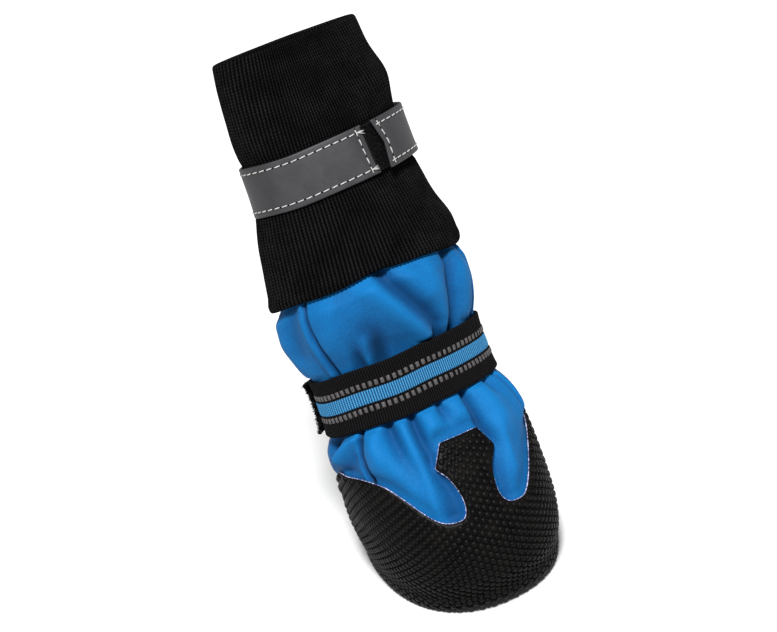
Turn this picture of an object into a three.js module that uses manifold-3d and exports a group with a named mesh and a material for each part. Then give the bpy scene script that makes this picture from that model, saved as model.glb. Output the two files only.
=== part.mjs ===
// A dog boot: a soft shoe for a large dog's paw, with webbing round the ankle and a long rib-knit
// cuff. Millimetres, +Z up. The sole's middle is at the origin, on the floor, and the toe points
// along -Y.
//
// One form runs from the sole's edge over the foot and up the shaft. A place on it has an angle
// round the boot, in degrees (0 at the toe, 90 on the +X side, 180 at the heel), and a station
// along it (0 where the upper meets the sole, rising to the collar). Each sewn piece is a sheet
// over part of that form, between two distances from it.
import Module from "manifold-3d";
import * as THREE from "three";

// Driving dimensions.
const SOLE_LENGTH = 104;
const SOLE_WIDTH = 79;
const BALL_WIDTH = 82;
const SOLE_THICKNESS = 3;
const RIM_HEIGHT = 7.5;
const TOE_SPRING = 3;
const ANKLE_HEIGHT = 70;
const ANKLE_SETBACK = 13;
const ANKLE_WIDTH = 73;
const ANKLE_DEPTH = 59;
const ANKLE_STATION = 70;
const SHAFT_LEAN = 14;
const CUFF_BASE = 60;
const SHAFT_HEIGHT = 159;
const WEBBING_WIDTH = 25;
const STRAP_BASE = 97;
const STRAP_WIDTH = 21;

// Walls, and the gaps left between pieces that touch.
const UPPER_WALL = 2;
const CUFF_WALL = 3;
const CUFF_PROUD = 1;
const INSOLE_THICKNESS = 1.8;
const OVERLAY_THICKNESS = 1.6;
const WEBBING_THICKNESS = 1.7;
const TAPE_THICKNESS = 1.4;
const STRAP_THICKNESS = 1.2;
const GAP = 0.3;
const SOLE_GAP = 0.4;

// The sole's curves: how far in the flat of the tread ends, how far in and how high its rounded
// edge turns, how thick the rim is at its top, and where the toe starts to turn up and the form
// stops following it.
const TREAD_INSET = 5;
const SOLE_ROUND = [
  { inset: 1.9, height: 1.1 },
  { inset: 0.4, height: 3.6 },
];
const RIM_THICKNESS = 2.9;
const RIM_FILLET = [
  { inset: 3.2, height: 4.5 },
  { inset: 3.5, height: SOLE_THICKNESS },
];
const DISC_RINGS = [0.4, 0.75];
const SPRING_START = 0.2;
const SPRING_RUN = 0.3;
const SPRING_FADE = 40;

// The finest step of the facets, round the boot in degrees and along it in stations.
const TURN = 10;
const ROW = 5;

// Foot sections from the sole's edge to the ankle. Height is a share of ANKLE_HEIGHT; middle, the
// distance ahead of the origin, front and back are shares of SOLE_LENGTH; half, the half width, is
// a share of BALL_WIDTH; and tilt is a share of SHAFT_LEAN.
const FOOT_SECTIONS = [
  { station: 0, height: 0.047, middle: 0, front: 0.462, back: 0.462, half: 0.434, tilt: 0 },
  { station: 4.5, height: 0.11, middle: 0, front: 0.469, back: 0.469, half: 0.441, tilt: 0 },
  { station: 14, height: 0.245, middle: 0, front: 0.502, back: 0.49, half: 0.464, tilt: 0 },
  { station: 26, height: 0.415, middle: -0.01, front: 0.494, back: 0.475, half: 0.48, tilt: 0.15 },
  { station: 38, height: 0.58, middle: -0.025, front: 0.44, back: 0.447, half: 0.483, tilt: 0.45 },
  { station: 49, height: 0.725, middle: -0.055, front: 0.384, back: 0.407, half: 0.488, tilt: 0.85 },
  { station: 60, height: 0.868, middle: -0.1, front: 0.326, back: 0.356, half: 0.488, tilt: 1.25 },
];

// Shaft sections, by their distance up the leaning axis from the ankle. Half, the half width, is a
// share of ANKLE_WIDTH, front and back are shares of ANKLE_DEPTH, and tilt is a share of
// SHAFT_LEAN.
const SHAFT_SECTIONS = [
  { up: 0, half: 0.518, front: 0.502, back: 0.5, tilt: 1.5 },
  { up: 12.5, half: 0.504, front: 0.475, back: 0.468, tilt: 1.6 },
  { up: 25, half: 0.508, front: 0.492, back: 0.483, tilt: 1.6 },
  { up: 33, half: 0.536, front: 0.546, back: 0.52, tilt: 1.6 },
  { up: 43, half: 0.555, front: 0.57, back: 0.544, tilt: 1.6 },
  { up: 60, half: 0.548, front: 0.55, back: 0.534, tilt: 1.55 },
  { up: 68, half: 0.538, front: 0.532, back: 0.515, tilt: 1.5 },
  { up: 80, half: 0.506, front: 0.492, back: 0.483, tilt: 1.35 },
  { up: 94, half: 0.472, front: 0.45, back: 0.443, tilt: 1.2 },
  { up: 114, half: 0.464, front: 0.41, back: 0.405, tilt: 1.1 },
  { up: 130, half: 0.47, front: 0.373, back: 0.368, tilt: 1 },
  { up: 146, half: 0.452, front: 0.32, back: 0.315, tilt: 1 },
  { up: 159, half: 0.43, front: 0.27, back: 0.265, tilt: 1 },
];
const FOOT_SQUARENESS = 2.2;
const SHAFT_SQUARENESS = 2;

// The overlay's top edge on one side: from the tongue's neck round the notch, up the wing to its
// tip, and down again to the heel.
const WING_EDGE = [
  { angle: 9.5, station: 41 },
  { angle: 11.5, station: 37.2 },
  { angle: 18, station: 35.5 },
  { angle: 24, station: 36.2 },
  { angle: 31, station: 39.3 },
  { angle: 39, station: 43.5 },
  { angle: 48, station: 47.4 },
  { angle: 60, station: 50.7 },
  { angle: 76, station: 53 },
  { angle: 91, station: 54 },
  { angle: 108, station: 47 },
  { angle: 130, station: 37 },
  { angle: 155, station: 29 },
  { angle: 180, station: 27 },
];
// The tongue above the notch, a neck and a six-sided head, by its half width in degrees.
const TONGUE_EDGE = [
  { half: 10.5, station: 44.5 },
  { half: 14, station: 47.8 },
  { half: 19.2, station: 51 },
  { half: 17, station: 54 },
  { half: 13.6, station: 57.3 },
];
const BAND_LOW = 5.8;
const BAND_ROWS = 7;
const TONGUE_SHARES = [-1, -0.5, 0, 0.5, 1];
const CUTTER_DEPTH = 6;
const CUTTER_HEIGHT = 8;

// The straps' ends, as angles round the boot, and how many degrees an end takes to lift off or
// settle. Each free end lies over what it fastens to.
const STRAP_SEWN_END = 24;
const STRAP_FREE_END = 34;
const STRAP_END_RUN = 14;
const STRAP_LIFT = 1;
const STRAP_TILT = 1.2;
const LOOP_TAPE_END = 92;
const LOOP_TAPE_INSET = 0.5;
const TAPE_CLEARANCE = 4;
const TAPE_SETTLE = 18;
const HOOK_TAPE_SPAN = [-166, -106];
const HOOK_TAPE_RUN = 20;
const HOOK_TAPE_LIFT = 1;
const HOOK_TAPE_DROOP = 0.8;

const COLOURS = {
  softshell: 0x1a7fd0,
  knit: 0x141416,
  rubber: 0x1b1a1a,
  webbing: 0x17171a,
  reflective: 0x6c6c70,
  tape: 0x0e0e10,
  lining: 0x2a2c30,
};

const { degToRad: radians, smoothstep } = THREE.MathUtils;

// ---- The form ----

const SECTIONS = [
  ...FOOT_SECTIONS.map((row) => ({
    station: row.station,
    height: row.height * ANKLE_HEIGHT,
    middle: row.middle * SOLE_LENGTH,
    front: row.front * SOLE_LENGTH,
    back: row.back * SOLE_LENGTH,
    half: row.half * BALL_WIDTH,
    tilt: row.tilt * SHAFT_LEAN,
    squareness: FOOT_SQUARENESS,
  })),
  ...SHAFT_SECTIONS.map((row) => ({
    station: ANKLE_STATION + row.up,
    height: ANKLE_HEIGHT + row.up * Math.cos(radians(SHAFT_LEAN)),
    middle: -ANKLE_SETBACK - row.up * Math.sin(radians(SHAFT_LEAN)),
    front: row.front * ANKLE_DEPTH,
    back: row.back * ANKLE_DEPTH,
    half: row.half * ANKLE_WIDTH,
    tilt: row.tilt * SHAFT_LEAN,
    squareness: SHAFT_SQUARENESS,
  })),
];
const SECTION_COLUMNS = ["height", "middle", "front", "back", "half", "tilt", "squareness"];

// How fast a column of the table changes at a row, from the rows on either side of it.
function slope(row, column) {
  const before = SECTIONS[Math.max(0, row - 1)];
  const after = SECTIONS[Math.min(SECTIONS.length - 1, row + 1)];
  return (after[column] - before[column]) / (after.station - before.station);
}

// The section at any station, on a smooth curve through each column of the table.
function sectionAt(station) {
  let row = 0;
  while (row < SECTIONS.length - 2 && SECTIONS[row + 1].station < station) row += 1;
  const [low, high] = [SECTIONS[row], SECTIONS[row + 1]];
  const span = high.station - low.station;
  const t = (station - low.station) / span;
  const section = {};
  for (const column of SECTION_COLUMNS) {
    section[column] =
      low[column] * (1 + 2 * t) * (1 - t) ** 2 +
      high[column] * (3 - 2 * t) * t ** 2 +
      slope(row, column) * span * t * (1 - t) ** 2 +
      slope(row + 1, column) * span * (t - 1) * t ** 2;
  }
  return section;
}

// How far the toe turns up, at a distance ahead of the origin.
function toeLift(ahead) {
  const share = Math.max(0, (ahead / SOLE_LENGTH - SPRING_START) / SPRING_RUN);
  return TOE_SPRING * share ** 2;
}

// A section's radius at an angle: a rounded oval with its own front and back.
function reach(angle, { half, front, back, squareness }) {
  const across = Math.abs(Math.sin(angle)) / half;
  const along = Math.abs(Math.cos(angle)) / (Math.cos(angle) > 0 ? front : back);
  return (across ** squareness + along ** squareness) ** (-1 / squareness);
}

// The point of the form at a place.
function formPoint(angle, station) {
  const section = sectionAt(station);
  const turn = radians(angle);
  const tilt = radians(section.tilt);
  const r = reach(turn, section);
  const ahead = section.middle + r * Math.cos(turn) * Math.cos(tilt);
  const rise = r * Math.cos(turn) * Math.sin(tilt);
  const spring = toeLift(ahead) * (1 - smoothstep(station, 0, SPRING_FADE));
  return new THREE.Vector3(r * Math.sin(turn), -ahead, section.height + rise + spring);
}

// The point at a distance outside the form, square to it.
function offsetPoint({ angle, station }, distance) {
  const step = 0.5;
  const low = Math.max(0, station - step);
  const round = formPoint(angle + step, station).sub(formPoint(angle - step, station));
  const along = formPoint(angle, station + step).sub(formPoint(angle, low));
  return formPoint(angle, station).addScaledVector(round.cross(along).normalize(), distance);
}

// ---- Meshes ----

function geometryOf(points, triangles) {
  const geometry = new THREE.BufferGeometry();
  const positions = points.flatMap((point) => point.toArray());
  geometry.setAttribute("position", new THREE.Float32BufferAttribute(positions, 3));
  geometry.setIndex(triangles.flat());
  return geometry;
}

// The two triangles of a cell between two rows, given its corners in turn.
function cell(a, b, c, d) {
  return [
    [a, b, c],
    [a, c, d],
  ];
}

// A place's distance from the form, where it is the same all over a sheet.
function always(distance) {
  return () => distance;
}

// A closed sheet over a patch of the form, between two distances from it. A patch is a list of
// places and the triangles that join them, facing out.
function sheet({ places, triangles }, inner, outer) {
  const count = places.length;
  const points = [
    ...places.map((place) => offsetPoint(place, outer(place))),
    ...places.map((place) => offsetPoint(place, inner(place))),
  ];
  const faces = triangles.flatMap(([a, b, c]) => [
    [a, b, c],
    [count + c, count + b, count + a],
  ]);
  const edges = triangles.flatMap(([a, b, c]) => [
    [a, b],
    [b, c],
    [c, a],
  ]);
  const known = new Set(edges.map(String));
  for (const [a, b] of edges) {
    if (!known.has(`${b},${a}`)) faces.push(...cell(b, a, count + a, count + b));
  }
  return geometryOf(points, faces);
}

// The steps from one value to another: both ends, and each whole multiple of step between them.
function steps(from, to, step) {
  const stops = [from];
  for (let k = Math.ceil(from / step); k * step < to; k += 1) {
    if (k * step > from) stops.push(k * step);
  }
  return [...stops, to];
}

// A patch with a row for each station. Its columns are angles, and a closed patch runs on from
// the last column to the first.
function patchOf(columns, rows, closed) {
  const places = rows.flatMap((station) => columns.map((angle) => ({ angle, station })));
  return { places, triangles: gridTriangles(columns.length, rows.length, closed) };
}

function gridTriangles(width, height, closed) {
  const triangles = [];
  for (let row = 0; row < height - 1; row += 1) {
    for (let i = 0; i < (closed ? width : width - 1); i += 1) {
      const a = row * width + i;
      const b = row * width + ((i + 1) % width);
      triangles.push(...cell(a, b, b + width, a + width));
    }
  }
  return triangles;
}

// A tube right round the boot between two stations.
function tubePatch(low, high, row = ROW) {
  return patchOf(steps(0, 360 - TURN, TURN), steps(low, high, row), true);
}

// A strip of strap between two angles.
function stripPatch(start, end, low, high) {
  return patchOf(steps(start, end, TURN), steps(low, high, ROW), false);
}

// A disc or dish: rings that go out, round and back in, closed by a point at each end.
function dish(rings, bottom, top) {
  const turns = steps(0, 360 - TURN, TURN);
  const width = turns.length;
  const points = [...rings.flatMap((ring) => turns.map(ring)), bottom, top];
  const faces = gridTriangles(width, rings.length, true);
  const inmost = (rings.length - 1) * width;
  for (let i = 0; i < width; i += 1) {
    const next = (i + 1) % width;
    faces.push([rings.length * width, next, i]);
    faces.push([inmost + i, inmost + next, rings.length * width + 1]);
  }
  return geometryOf(points, faces);
}

const wasm = await Module();
wasm.setup();

function solidOf(geometry) {
  const vertProperties = new Float32Array(geometry.getAttribute("position").array);
  const triVerts = new Uint32Array(geometry.getIndex().array);
  return new wasm.Manifold(new wasm.Mesh({ numProp: 3, vertProperties, triVerts }));
}

// What two closed geometries have in common.
function intersect(one, other) {
  const mesh = solidOf(one).intersect(solidOf(other)).getMesh();
  const geometry = new THREE.BufferGeometry();
  geometry.setAttribute("position", new THREE.BufferAttribute(mesh.vertProperties, mesh.numProp));
  geometry.setIndex(new THREE.BufferAttribute(mesh.triVerts, 1));
  return geometry;
}

// ---- Pieces ----

// A ring of the sole's outline, drawn in by an inset and scaled about its middle, at a height
// above the curve of the sole's underside.
function soleRing(inset, height, scale = 1) {
  const outline = {
    half: SOLE_WIDTH / 2 - inset,
    front: SOLE_LENGTH / 2 - inset,
    back: SOLE_LENGTH / 2 - inset,
    squareness: FOOT_SQUARENESS,
  };
  return (angle) => {
    const turn = radians(angle);
    const r = scale * reach(turn, outline);
    const ahead = FOOT_SECTIONS[0].middle * SOLE_LENGTH + r * Math.cos(turn);
    return new THREE.Vector3(r * Math.sin(turn), -ahead, height + toeLift(ahead));
  };
}

// The outsole: a shallow rubber dish, whose rim stands up round the upper's lower edge.
function outsole() {
  const rings = [
    ...DISC_RINGS.map((share) => soleRing(TREAD_INSET, 0, share)),
    soleRing(TREAD_INSET, 0),
    ...SOLE_ROUND.map(({ inset, height }) => soleRing(inset, height)),
    soleRing(0, RIM_HEIGHT),
    soleRing(RIM_THICKNESS, RIM_HEIGHT),
    ...RIM_FILLET.map(({ inset, height }) => soleRing(inset, height)),
    ...DISC_RINGS.toReversed().map((share) => soleRing(TREAD_INSET, SOLE_THICKNESS, share)),
  ];
  return dish(rings, soleRing(0, 0, 0)(0), soleRing(0, SOLE_THICKNESS, 0)(0));
}

// The insole: a soft board that lies on the outsole, inside the upper.
function insole() {
  const inset = SOLE_WIDTH / 2 - FOOT_SECTIONS[0].half * BALL_WIDTH + UPPER_WALL + SOLE_GAP;
  const low = SOLE_THICKNESS + GAP;
  const high = low + INSOLE_THICKNESS;
  const shares = [...DISC_RINGS, 1];
  const rings = [
    ...shares.map((share) => soleRing(inset, low, share)),
    ...shares.toReversed().map((share) => soleRing(inset, high, share)),
  ];
  return dish(rings, soleRing(0, low, 0)(0), soleRing(0, high, 0)(0));
}

// The upper: one hollow softshell wall, open underneath and at the top.
function upper() {
  return sheet(tubePatch(0, ANKLE_STATION + CUFF_BASE), always(-UPPER_WALL), always(0));
}

const CUFF_LOW = ANKLE_STATION + CUFF_BASE + GAP;
const CUFF_HIGH = ANKLE_STATION + SHAFT_HEIGHT;

// How far the cuff's face stands out from the form: it bags over the upper and fades upwards.
function cuffFace({ station }) {
  return CUFF_PROUD * (1 - smoothstep(station, CUFF_LOW, (CUFF_LOW + CUFF_HIGH) / 2));
}

// The cuff: a doubled tube of rib knit, sewn to the upper's top edge.
function cuff() {
  const row = 1.5 * ROW;
  return sheet(tubePatch(CUFF_LOW, CUFF_HIGH, row), (place) => cuffFace(place) - CUFF_WALL, cuffFace);
}

// The overlay's outline on the form: a band round the foot, with a wing on each side and a tongue
// in front.
function overlayPatch() {
  const [neck, ...left] = WING_EDGE;
  const right = left
    .slice(0, -1)
    .toReversed()
    .map(({ angle, station }) => ({ angle: 360 - angle, station }));
  const acrossNeck = TONGUE_SHARES.map((share) => ({
    angle: share * neck.angle,
    station: neck.station,
  }));
  const top = [...acrossNeck, ...left, ...right];
  const places = [];
  for (let row = 0; row < BAND_ROWS; row += 1) {
    const up = row / (BAND_ROWS - 1);
    for (const { angle, station } of top) {
      places.push({ angle, station: BAND_LOW + up * (station - BAND_LOW) });
    }
  }
  const triangles = gridTriangles(top.length, BAND_ROWS, true);
  let below = (BAND_ROWS - 1) * top.length;
  for (const { half, station } of TONGUE_EDGE) {
    const above = places.length;
    places.push(...TONGUE_SHARES.map((share) => ({ angle: share * half, station })));
    for (let i = 0; i < TONGUE_SHARES.length - 1; i += 1) {
      triangles.push(...cell(below + i, below + i + 1, above + i + 1, above + i));
    }
    below = above;
  }
  return { places, triangles };
}

// The overlay: a rubber layer on the foot, cut from a shell just outside the upper.
function overlay() {
  const shell = sheet(
    tubePatch(0, ANKLE_STATION),
    always(SOLE_GAP),
    always(SOLE_GAP + OVERLAY_THICKNESS),
  );
  const cutter = sheet(overlayPatch(), always(-CUTTER_DEPTH), always(CUTTER_HEIGHT));
  return intersect(shell, cutter);
}

// The ankle strap: elastic webbing right round the ankle.
function ankleStrap() {
  const patch = tubePatch(ANKLE_STATION, ANKLE_STATION + WEBBING_WIDTH);
  return sheet(patch, always(GAP), always(GAP + WEBBING_THICKNESS));
}

// The hook tape that fastens the webbing, on its outside.
function hookTape() {
  const [start, end] = HOOK_TAPE_SPAN;
  const low = ANKLE_STATION - HOOK_TAPE_DROOP;
  const face = 2 * GAP + WEBBING_THICKNESS;
  const inner = ({ angle }) => face + HOOK_TAPE_LIFT * smoothstep(angle, end - HOOK_TAPE_RUN, end);
  const patch = stripPatch(start, end, low, low + WEBBING_WIDTH);
  return sheet(patch, inner, (place) => inner(place) + TAPE_THICKNESS);
}

// A strip of the cuff's fastening between two angles, drawn in by an inset. It rises on the +X
// side and falls on the other.
function cuffStrip(start, end, inset) {
  const low = ANKLE_STATION + STRAP_BASE + inset;
  const high = ANKLE_STATION + STRAP_BASE + STRAP_WIDTH - inset;
  const { places, triangles } = stripPatch(start, end, low, high);
  const tilted = places.map(({ angle, station }) => ({
    angle,
    station: station + STRAP_TILT * Math.sin(radians(angle)),
  }));
  return { places: tilted, triangles };
}

// The strip of loop tape on the cuff, next to the cuff strap's sewn end.
function loopTape() {
  const patch = cuffStrip(STRAP_SEWN_END + 1, LOOP_TAPE_END, LOOP_TAPE_INSET);
  const inner = (place) => cuffFace(place) + GAP;
  return sheet(patch, inner, (place) => inner(place) + TAPE_THICKNESS);
}

// The cuff strap: reflective tape sewn on at the front, which goes all the way round and laps its
// free end over the loop tape.
function cuffStrap() {
  const climb = TAPE_THICKNESS + GAP;
  const clear = LOOP_TAPE_END + TAPE_CLEARANCE;
  const inner = (place) => {
    const overTape = 1 - smoothstep(place.angle, clear, clear + TAPE_SETTLE);
    const lifted = 1 - smoothstep(place.angle, STRAP_FREE_END, STRAP_FREE_END + STRAP_END_RUN);
    return cuffFace(place) + GAP + climb * overTape + STRAP_LIFT * lifted;
  };
  const patch = cuffStrip(STRAP_FREE_END, 360 + STRAP_SEWN_END, 0);
  return sheet(patch, inner, (place) => inner(place) + STRAP_THICKNESS);
}

// ---- The boot ----

const boot = new THREE.Group();

function add(name, geometry, color, roughness) {
  geometry.computeVertexNormals();
  const material = new THREE.MeshStandardMaterial({ color, roughness, metalness: 0 });
  const mesh = new THREE.Mesh(geometry, material);
  mesh.name = name;
  boot.add(mesh);
}

add("outsole", outsole(), COLOURS.rubber, 0.6);
add("insole", insole(), COLOURS.lining, 0.95);
add("upper", upper(), COLOURS.softshell, 0.75);
add("toe_overlay", overlay(), COLOURS.rubber, 0.6);
add("cuff", cuff(), COLOURS.knit, 0.95);
add("ankle_strap", ankleStrap(), COLOURS.webbing, 0.85);
add("ankle_strap_tab", hookTape(), COLOURS.tape, 0.9);
add("cuff_strap", cuffStrap(), COLOURS.reflective, 0.5);
add("cuff_strap_tape", loopTape(), COLOURS.tape, 0.9);

export default boot;
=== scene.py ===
"""A dog boot: softshell foot, nubbed rubber sole and overlay, webbing ankle strap and rib-knit cuff.

Lengths are millimetres until a mesh is written, which is in metres. +Z is up and the toe points
along -Y. A place on the boot has an angle round it, in degrees (0 at the toe, 90 on the +X side,
180 at the heel), and a station along it (0 at the sole's edge, rising to the collar). Every sewn
piece is laid on one form at a distance from it, so pieces follow each other round every curve.
"""

import logging
import math
from dataclasses import dataclass, field
from enum import Enum
from functools import partial
from typing import Callable, Sequence

import bpy
import numpy as np
from bpy.types import Material, Node, NodeSocket, NodeTree, Object
from mathutils import Matrix, Vector
from mathutils.geometry import delaunay_2d_cdt

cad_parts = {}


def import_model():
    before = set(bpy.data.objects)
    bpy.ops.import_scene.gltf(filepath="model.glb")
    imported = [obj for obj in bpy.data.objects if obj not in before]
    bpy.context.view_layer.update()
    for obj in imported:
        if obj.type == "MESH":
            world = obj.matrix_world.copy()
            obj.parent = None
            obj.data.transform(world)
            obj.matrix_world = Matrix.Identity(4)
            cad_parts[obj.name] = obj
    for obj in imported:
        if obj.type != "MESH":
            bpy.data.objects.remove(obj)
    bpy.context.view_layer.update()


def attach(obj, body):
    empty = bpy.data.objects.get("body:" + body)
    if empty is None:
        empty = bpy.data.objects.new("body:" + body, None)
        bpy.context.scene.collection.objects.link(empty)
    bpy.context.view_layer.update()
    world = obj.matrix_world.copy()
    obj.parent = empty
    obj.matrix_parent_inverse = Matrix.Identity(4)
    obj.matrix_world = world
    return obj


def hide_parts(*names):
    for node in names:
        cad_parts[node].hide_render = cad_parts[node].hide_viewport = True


LOG = logging.getLogger("boot")
MM = 0.001
SEED = 7
# The boot's radius, which turns angles into lengths along the cloth.
MEAN_RADIUS = 37.0
# Millimetres along the rubber in a degree round the foot and in a millimetre of station.
FLAT = np.array([0.65, 1.0])
# How far apart the bands of a wave texture of scale 1 are, in millimetres.
WAVE_PITCH = 314.159

Array = np.ndarray
Distance = Callable[[Array, Array], Array]


# ---- Helpers ----


def smoothstep(value: Array, low: float, high: float) -> Array:
    """The smooth rise from 0 at low to 1 at high."""
    t = np.clip((np.asarray(value, float) - low) / (high - low), 0.0, 1.0)
    return t * t * (3.0 - 2.0 * t)


def turn_between(angle: Array, middle: float) -> Array:
    """How far an angle is from another, in degrees, the short way round."""
    return (np.asarray(angle, float) - middle + 180.0) % 360.0 - 180.0


def ribbed(angle: Array, ribs: int) -> Array:
    """Rounded ribs that run up the boot, from 0 on their tops to -1 in their grooves.

    Args:
        angle: Angles round the boot, in degrees.
        ribs: How many ribs there are right round.

    Returns:
        The height at each angle.
    """
    share = (np.asarray(angle) * ribs / 360.0) % 1.0
    return -(np.abs(2.0 * share - 1.0) ** 2.2)


def linear(colour: str) -> tuple[float, float, float, float]:
    """An sRGB hex colour as linear RGBA.

    Args:
        colour: Six hex digits.

    Returns:
        Red, green, blue and an alpha of 1.
    """
    values = [int(colour[i : i + 2], 16) / 255.0 for i in (0, 2, 4)]
    red, green, blue = (v / 12.92 if v <= 0.04045 else ((v + 0.055) / 1.055) ** 2.4 for v in values)
    return red, green, blue, 1.0


def add_node(tree: NodeTree, kind: str, settings: dict | None = None, **links: Node | NodeSocket) -> Node:
    """Adds a node, sets its properties and sockets, and links what feeds it.

    Args:
        tree: The tree that gets the node.
        kind: The node's bl_idname.
        settings: Property names, or socket names or numbers, and their values.
        links: Input socket names, with _ for a space, and what feeds each one: an output socket,
            or a node whose first output it is.

    Returns:
        The new node.
    """
    node = tree.nodes.new(kind)
    for key, value in (settings or {}).items():
        if isinstance(key, str) and hasattr(node, key):
            setattr(node, key, value)
        else:
            node.inputs[key].default_value = value
    for key, source in links.items():
        if isinstance(source, Node):
            source = source.outputs[0]
        name = key.replace("_", " ")
        target = node.inputs[int(key[1:])] if key[1:].isdigit() else node.inputs[name]
        tree.links.new(source, target)
    return node


def mesh_object(
    name: str,
    points: Array,
    faces: Sequence[Sequence[int]],
    materials: Sequence[Material] = (),
    material_index: Array | None = None,
    corner_uv: Array | None = None,
) -> Object:
    """Makes a mesh object at the origin.

    Args:
        name: The object's name.
        points: Vertices in millimetres.
        faces: Vertex numbers of each face.
        materials: The object's material slots.
        material_index: The slot of each face.
        corner_uv: A UV pair for each corner of each face, in metres along the surface.

    Returns:
        The linked object.
    """
    mesh = bpy.data.meshes.new(name)
    mesh.from_pydata((np.asarray(points, float) * MM).tolist(), [], [list(map(int, f)) for f in faces])
    for material in materials:
        mesh.materials.append(material)
    if material_index is not None:
        mesh.polygons.foreach_set("material_index", np.asarray(material_index, np.int32))
    mesh.polygons.foreach_set("use_smooth", np.ones(len(mesh.polygons), bool))
    if corner_uv is not None:
        layer = mesh.uv_layers.new(name="cloth")
        layer.data.foreach_set("uv", np.asarray(corner_uv, np.float32).ravel())
    mesh.validate()
    mesh.update()
    made = bpy.data.objects.new(name, mesh)
    bpy.context.scene.collection.objects.link(made)
    return made


def grid_faces(width: int, height: int, round_columns: bool, round_rows: bool) -> Array:
    """The four-sided faces of a grid of points, a row after a row.

    Args:
        width: Points in a row.
        height: Rows.
        round_columns: Whether each row closes on itself.
        round_rows: Whether the last row joins the first.

    Returns:
        Vertex numbers, four to a face.
    """
    columns = np.arange(width if round_columns else width - 1)
    rows = np.arange(height if round_rows else height - 1)
    i, j = np.meshgrid(columns, rows)
    right, above = (i + 1) % width, (j + 1) % height
    corners = [j * width + i, j * width + right, above * width + right, above * width + i]
    return np.stack([c.ravel() for c in corners], axis=1)


# ---- The form ----


@dataclass(frozen=True)
class BootSizes:
    """The sizes that drive the boot, in millimetres and degrees."""

    sole_length: float = 104.0
    sole_width: float = 79.0
    ball_width: float = 82.0
    sole_thickness: float = 3.0
    rim_height: float = 7.5
    toe_spring: float = 3.0
    ankle_height: float = 70.0
    ankle_setback: float = 13.0
    ankle_width: float = 73.0
    ankle_depth: float = 59.0
    ankle: float = 70.0
    shaft_lean: float = 14.0
    cuff_base: float = 60.0
    shaft_height: float = 159.0
    webbing_width: float = 25.0
    strap_base: float = 97.0
    strap_width: float = 21.0
    strap_tilt: float = 1.2
    foot_squareness: float = 2.2
    shaft_squareness: float = 2.0

    @property
    def hem(self) -> float:
        """Station of the seam between the cloth and the cuff."""
        return self.ankle + self.cuff_base

    @property
    def collar(self) -> float:
        """Station of the cuff's top."""
        return self.ankle + self.shaft_height

    @property
    def strap(self) -> tuple[float, float]:
        """Stations of the cuff strap's edges at the front and back."""
        low = self.ankle + self.strap_base
        return low, low + self.strap_width

    def hem_droop(self, angle: Array) -> Array:
        """How far the cuff's hem stands above its place at each angle; it sags at the sides."""
        around = [rise * np.exp(-((turn_between(angle, at) / wide) ** 2)) for at, wide, rise in HEM_WAVES]
        return np.sum(around, axis=0)

    def strap_slide(self, angle: Array) -> Array:
        """How far the cuff strap stands above its place at each angle: it rises on the +X side."""
        return self.strap_tilt * np.sin(np.radians(angle))


# Waves of the cuff's hem: the angle of each one's middle, its width in degrees and its rise.
HEM_WAVES = (
    (60, 30, -2.9), (-11, 13, 1.2), (-47, 15, -0.7), (-100, 26, -1.4), (128, 20, 0.9), (176, 24, -1.0),
    (-146, 20, 0.8),
)
# Foot sections: station, height, middle, front, back, half width and tilt, as shares of the ankle's
# height, the sole's length (middle, front and back), the ball's width and the shaft's lean.
FOOT_SECTIONS = (
    (0.0, 0.047, 0.0, 0.462, 0.462, 0.434, 0.0),
    (4.5, 0.11, 0.0, 0.469, 0.469, 0.441, 0.0),
    (14.0, 0.245, 0.0, 0.502, 0.49, 0.464, 0.0),
    (26.0, 0.415, -0.01, 0.494, 0.475, 0.48, 0.15),
    (38.0, 0.58, -0.025, 0.44, 0.447, 0.483, 0.45),
    (49.0, 0.725, -0.055, 0.384, 0.407, 0.488, 0.85),
    (60.0, 0.868, -0.1, 0.326, 0.356, 0.488, 1.25),
)
# Shaft sections: distance up from the ankle, half width as a share of the ankle's width, front and
# back as shares of its depth, and tilt as a share of the shaft's lean.
SHAFT_SECTIONS = (
    (0.0, 0.518, 0.502, 0.5, 1.5),
    (12.5, 0.504, 0.475, 0.468, 1.6),
    (25.0, 0.508, 0.492, 0.483, 1.6),
    (33.0, 0.536, 0.546, 0.52, 1.6),
    (43.0, 0.555, 0.57, 0.544, 1.6),
    (60.0, 0.548, 0.55, 0.534, 1.55),
    (68.0, 0.538, 0.532, 0.515, 1.5),
    (80.0, 0.506, 0.492, 0.483, 1.35),
    (94.0, 0.472, 0.45, 0.443, 1.2),
    (114.0, 0.464, 0.41, 0.405, 1.1),
    (130.0, 0.47, 0.373, 0.368, 1.0),
    (146.0, 0.452, 0.32, 0.315, 1.0),
    (159.0, 0.43, 0.27, 0.265, 1.0),
)


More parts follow.
